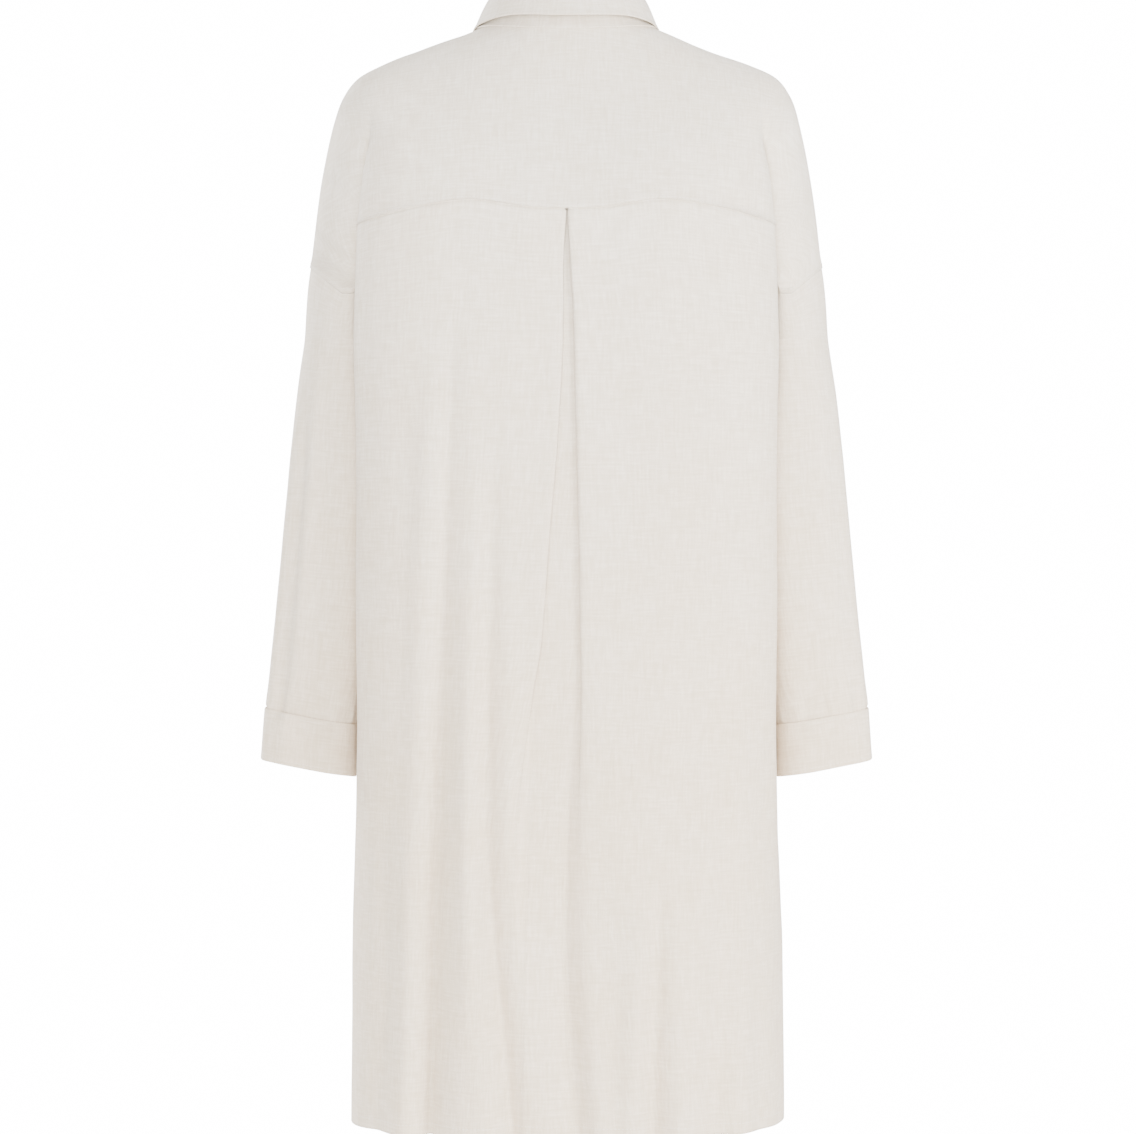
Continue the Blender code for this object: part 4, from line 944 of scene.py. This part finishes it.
def buttonMesh(name, place, out):  # a disc spun from a profile of radius and height, with four bored holes
    radius, thick, rim, dish, sides = (buttons[key] for key in ("radius", "thick", "rim", "dish", "sides"))
    profile = (
        (radius * 0.72, 0.0), (radius - 0.0004, 0.0004), (radius, 0.0010), (radius, thick - 0.0006),
        (radius - 0.0004, thick - 0.0001), (radius - rim * 0.6, thick), (radius - rim, thick - 0.0002),
        (radius - rim - 0.0006, thick - dish),
    )
    turn = np.linspace(0, 2 * math.pi, sides, endpoint=False)
    circle = np.column_stack([np.cos(turn), np.sin(turn)])
    points = np.array([atHeight(r * circle, h) for r, h in profile])
    ends = [list(range(sides))[::-1], list(range((len(profile) - 1) * sides, len(profile) * sides))]
    piece = meshPiece(name, points, gridFaces(len(profile), sides, 0, True).tolist() + ends, shell)
    cutter = bmesh.new()
    for k in range(4):
        angle = math.pi / 4 + k * math.pi / 2
        made = bmesh.ops.create_cone(cutter, cap_ends=True, segments=12, radius1=buttons["holeRadius"],
                                     radius2=buttons["holeRadius"], depth=0.01)
        shift = (buttons["holeRing"] * math.cos(angle), buttons["holeRing"] * math.sin(angle), 0)
        bmesh.ops.translate(cutter, verts=made["verts"], vec=shift)
    cutMesh = bpy.data.meshes.new("cutter")
    cutter.to_mesh(cutMesh)
    cutter.free()
    tool = addObject("cutter", cutMesh)
    bore = piece.modifiers.new("Holes", "BOOLEAN")
    bore.object, bore.operation, bore.solver = tool, "DIFFERENCE", "EXACT"
    bpy.context.view_layer.update()
    bored = bpy.data.meshes.new_from_object(piece.evaluated_get(bpy.context.evaluated_depsgraph_get()))
    piece.modifiers.clear()
    piece.data = bored
    bpy.data.objects.remove(tool)
    points = np.empty(len(bored.vertices) * 3)
    bored.vertices.foreach_get("co", points)
    z, x = unit(out), np.array([1.0, 0, 0])
    points = place + points.reshape(-1, 3) @ np.array([x, np.cross(z, x), z])
    bored.vertices.foreach_set("co", points.reshape(-1))
    bored.name = name
    bored.shade_smooth()
    bored.update()
    piece.modifiers.new("Normals", "WEIGHTED_NORMAL").keep_sharp = True
    return piece


# Putting the pieces together
def dress(piece, node):
    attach(piece, "root")
    if node:
        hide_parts(node)


def panelPiece(node, name, grids, point, direction, uvs=None):  # its face near point looks along direction
    pieces[node] = makeMesh(name, grids, uvs or [uvOf(grid) for grid in grids], linen)
    faceOut(pieces[node], point, direction)


pieces = {}


sides = {"left": -1, "right": 1}
yokeGrid, backParts = makeYoke(), makeBack()
innerXs = {"left": (placket["half"] - 0.0004, 0.007, 0.0, -0.007, -placket["half"]),
           "right": (placket["half"] + 0.0004, 0.019)}
fronts = {word: makeFront(side, innerXs[word]) for word, side in sides.items()}
sleeves = {word: makeSleeve(side) for word, side in sides.items()}
print("panels worked out")

spine = yokeGrid.shape[1] // 2
panelPiece("yoke", "yokePanel", [yokeGrid], yokeGrid[len(yokeGrid) // 2, spine], (0, -1, 0.5),
           [grainUv(yokeGrid, (1.0, 0.0, 0.0), spine)])
panelPiece("back", "backPanel", backParts, backParts[0][120, 30], (0, -1, 0))
frontWefts = ((1.0, 0.0, 0.0), (1.0, 0.0, 0.0), None)  # front, shoulder and side
for word in sides:
    uvs = [grainUv(grid, weft) for grid, weft in zip(fronts[word], frontWefts)]
    spot = fronts[word][0][180, 40]
    panelPiece("front_" + word, "frontPanel_" + word, fronts[word], spot, (0, 1, 0), uvs)
    over, tube = sleeves[word]
    opened = np.roll(tube, pitch["innerColumns"] // 2, axis=1)  # its grain joins on the inner side
    opened = np.concatenate([opened, opened[:, :1]], axis=1)
    panelPiece("sleeve_" + word, "sleevePanel_" + word, [over, opened], tube[50, 0], (0, -1, 0))
for piece in pieces.values():
    wall(piece, cloth["thick"])
print("panels made")

standGrid, fallGrid = makeStand(), makeFall()
for key, name, grid, row, tip in (("collar_stand", "collarStand", standGrid, 6, 0.0),
                                  ("collar_fall", "collarFall", fallGrid, -6, 0.5)):
    panelPiece(key, name, [grid], grid[row, grid.shape[1] // 2], (0, -1, tip))
    wall(pieces[key], collar["thick"], 0.0)
    soft = pieces[key].modifiers.new("Edges", "BEVEL")
    soft.width, soft.segments, soft.limit_method = collar["soften"][0], 2, "ANGLE"
    soft.angle_limit = math.radians(collar["soften"][1])

cuff = {  # half its thickness, how far in its middle lies, the rounding of its edges
    "half": 0.0009, "inward": 0.0005, "round": 0.0012, "columns": 151, "rows": 22,
    "stitchRows": {"top": 1.3, "edge": 19.8},
}


def makeCuff(side):  # a closed band: a rounded section carried round the sleeve's end
    angles = np.linspace(-math.pi, math.pi, cuff["columns"])  # from the inner side round to it again
    half, rounded = cuff["half"], cuff["round"]
    top, low = cut["cuffSeamZ"] - rounded, cut["cuffEdgeZ"] + rounded
    zs = np.linspace(top, low, cuff["rows"])
    turn = np.linspace(0, math.pi, 7)[1:-1]
    profile = [(z, half) for z in zs]
    profile += [(low - rounded * math.sin(a), half * math.cos(a)) for a in turn]
    profile += [(z, -half) for z in zs[::-1]]
    profile += [(top + rounded * math.sin(a), -half * math.cos(a)) for a in turn]
    rings = []
    for z, off in profile + profile[:1]:
        ring = sleeveRing(z, angles, side)
        away = unit((ring - ring.mean(axis=0)) * np.array([1, 1, 0]))
        wave = 0.5 * swell(ring * 1.3) + 0.0003 * np.sin(angles * 9 + z * 60)
        rings.append(ring + away * (off - cuff["inward"] + wave)[:, None])
    return np.array(rings)


for word, side in sides.items():
    band = makeCuff(side)
    panelPiece("cuff_" + word, "cuffBand_" + word, [band], band[8, cuff["columns"] // 2], (side, 0, 0))
    for label, row in cuff["stitchRows"].items():
        sew("cuff_" + word, f"cuffStitch_{label}_{word}", band, row, side)
print("collar and cuffs made")

bandXs = np.linspace(-placket["half"], placket["half"] + placket["lap"], 14)
bandGrid = frontStrip(bandXs)
bandOut = -facing(bandGrid)
bandGrid = bandGrid + bandOut * (placket["lift"] + swell(bandGrid))[..., None]
panelPiece("placket", "buttonBand", [bandGrid], bandGrid[150, 7], (0, 1, 0))
wall(pieces["placket"], placket["thick"])
for label, column in (("over", 0.7), ("seam", 12.3)):
    sew("placket", f"bandStitch_{label}", bandGrid.transpose(1, 0, 2), column)

for i in range(buttons["count"]):
    z = buttons["firstZ"] - i * buttons["pitch"]
    place, direction = (readLine(-z, -bandGrid[:, 6, 2], field[:, 6]) * np.array([0, 1, 1])
                        for field in (bandGrid, bandOut))
    place = place + direction * buttons["lift"]
    dress(buttonMesh(f"shirtButton_{i + 1}", place, direction), f"button_{i + 1}")
    top = place + direction * (buttons["thick"] - buttons["dish"])
    across = buttons["holeRing"] * math.sqrt(0.5) * np.array([1.0, 0, 0])
    up = np.cross(direction, across)
    for k, tilt in enumerate((1, -1)):  # the thread's cross
        ends = np.array([top - across - tilt * up, top + across + tilt * up])
        dress(stitchRow(f"buttonThread_{i + 1}_{k + 1}", ends, np.array([direction, direction])), None)
print("placket and buttons made")

# Seams: rows of stitches beside the lapped and turned edges, counted in grid rows
sew("yoke", "yokeStitch", yokeGrid, len(yokeGrid) - 2.75)
sew("back", "hemStitch_back", backParts[0], len(backParts[0]) - 4)
for word, side in sides.items():
    sew("front_" + word, "hemStitch_front_" + word, fronts[word][0], len(fronts[word][0]) - 4, -side)
sew("collar_fall", "fallStitch_edge", fallGrid, len(fallGrid) - 4.2)
sew("collar_stand", "standStitch_neck", standGrid, len(standGrid) - 2.2)

dress(pieces["yoke"], "yoke")
dress(pieces["back"], "back")
for word in sides:
    dress(pieces["front_" + word], "front_" + word)
    dress(pieces["sleeve_" + word], "sleeve_" + word)
    dress(pieces["cuff_" + word], "cuff_" + word)
dress(pieces["collar_stand"], "collar_stand")
dress(pieces["collar_fall"], "collar_fall")
dress(pieces["placket"], "placket")
for group in stitches.values():
    for row in group:
        dress(row, None)
print("seams sewn")

# Studio: pale floor, soft light, and the photograph's view
studio = {
    "floorZ": -1.42, "floorRadius": 1.75, "camera": (0.001, -2.80, -0.5174), "lens": 92.4, "sensor": 36.0,
    "surround": 1.95,  # light from all sides
    "backdrop": 16.0,  # brightness of the paper behind
    "lights": {  # place, size and power
        "keyLight": ((2.5, -2.1, -0.40), 1.3, 185.0),
        "fillLight": ((-0.3, -3.7, -0.7), 2.2, 235.0),
        "topLight": ((0.3, -0.8, 2.0), 1.6, 8.0),
        "frontLight": ((-2.4, 2.4, 0.3), 1.2, 220.0),
    },
    "aim": (0, 0, -0.5),
}
turn = np.linspace(0, 2 * math.pi, 97)[:-1]
reach = np.linspace(0.0004, 1.0, 24)[:, None] * studio["floorRadius"]
floorGrid = np.stack([reach * np.cos(turn), reach * np.sin(turn), np.full((24, 96), studio["floorZ"])],
                     axis=2)
paper, paperTree, paperShader = newMaterial("palePaper")
fill(paperTree, paperShader, {"Base Color": linear("#fbfbfa"), "Roughness": 0.95})
floor = makeMesh("studioFloor", [floorGrid], [floorGrid[..., :2]], paper, True)
faceOut(floor, np.array([1, 0, studio["floorZ"]]), (0, 0, 1))

world = bpy.context.scene.world or bpy.data.worlds.new("studio")
bpy.context.scene.world = world
world.use_nodes = True
sky = world.node_tree
white = (1, 1, 1, 1)
around = fill(sky, sky.nodes["Background"], {"Color": white, "Strength": studio["surround"]}).outputs[0]
behind = addNode(sky, "ShaderNodeBackground", {"Color": white, "Strength": studio["backdrop"]}).outputs[0]
seen = addNode(sky, "ShaderNodeLightPath").outputs["Is Camera Ray"]
both = addNode(sky, "ShaderNodeMixShader", {0: seen, 1: around, 2: behind})
sky.links.new(both.outputs[0], sky.nodes["World Output"].inputs["Surface"])

for name, (place, size, power) in studio["lights"].items():
    light = bpy.data.lights.new(name, "AREA")
    light.shape, light.size, light.energy = "DISK", size, power
    lamp = addObject(name, light)
    lamp.location = place
    lamp.rotation_euler = (Vector(studio["aim"]) - Vector(place)).to_track_quat("-Z", "Y").to_euler()

camera = bpy.data.cameras.new("photoView")
camera.lens, camera.sensor_width = studio["lens"], studio["sensor"]
viewer = addObject("photoView", camera)
viewer.location = studio["camera"]
viewer.rotation_euler = (math.radians(90), 0, 0)
bpy.context.scene.camera = viewer
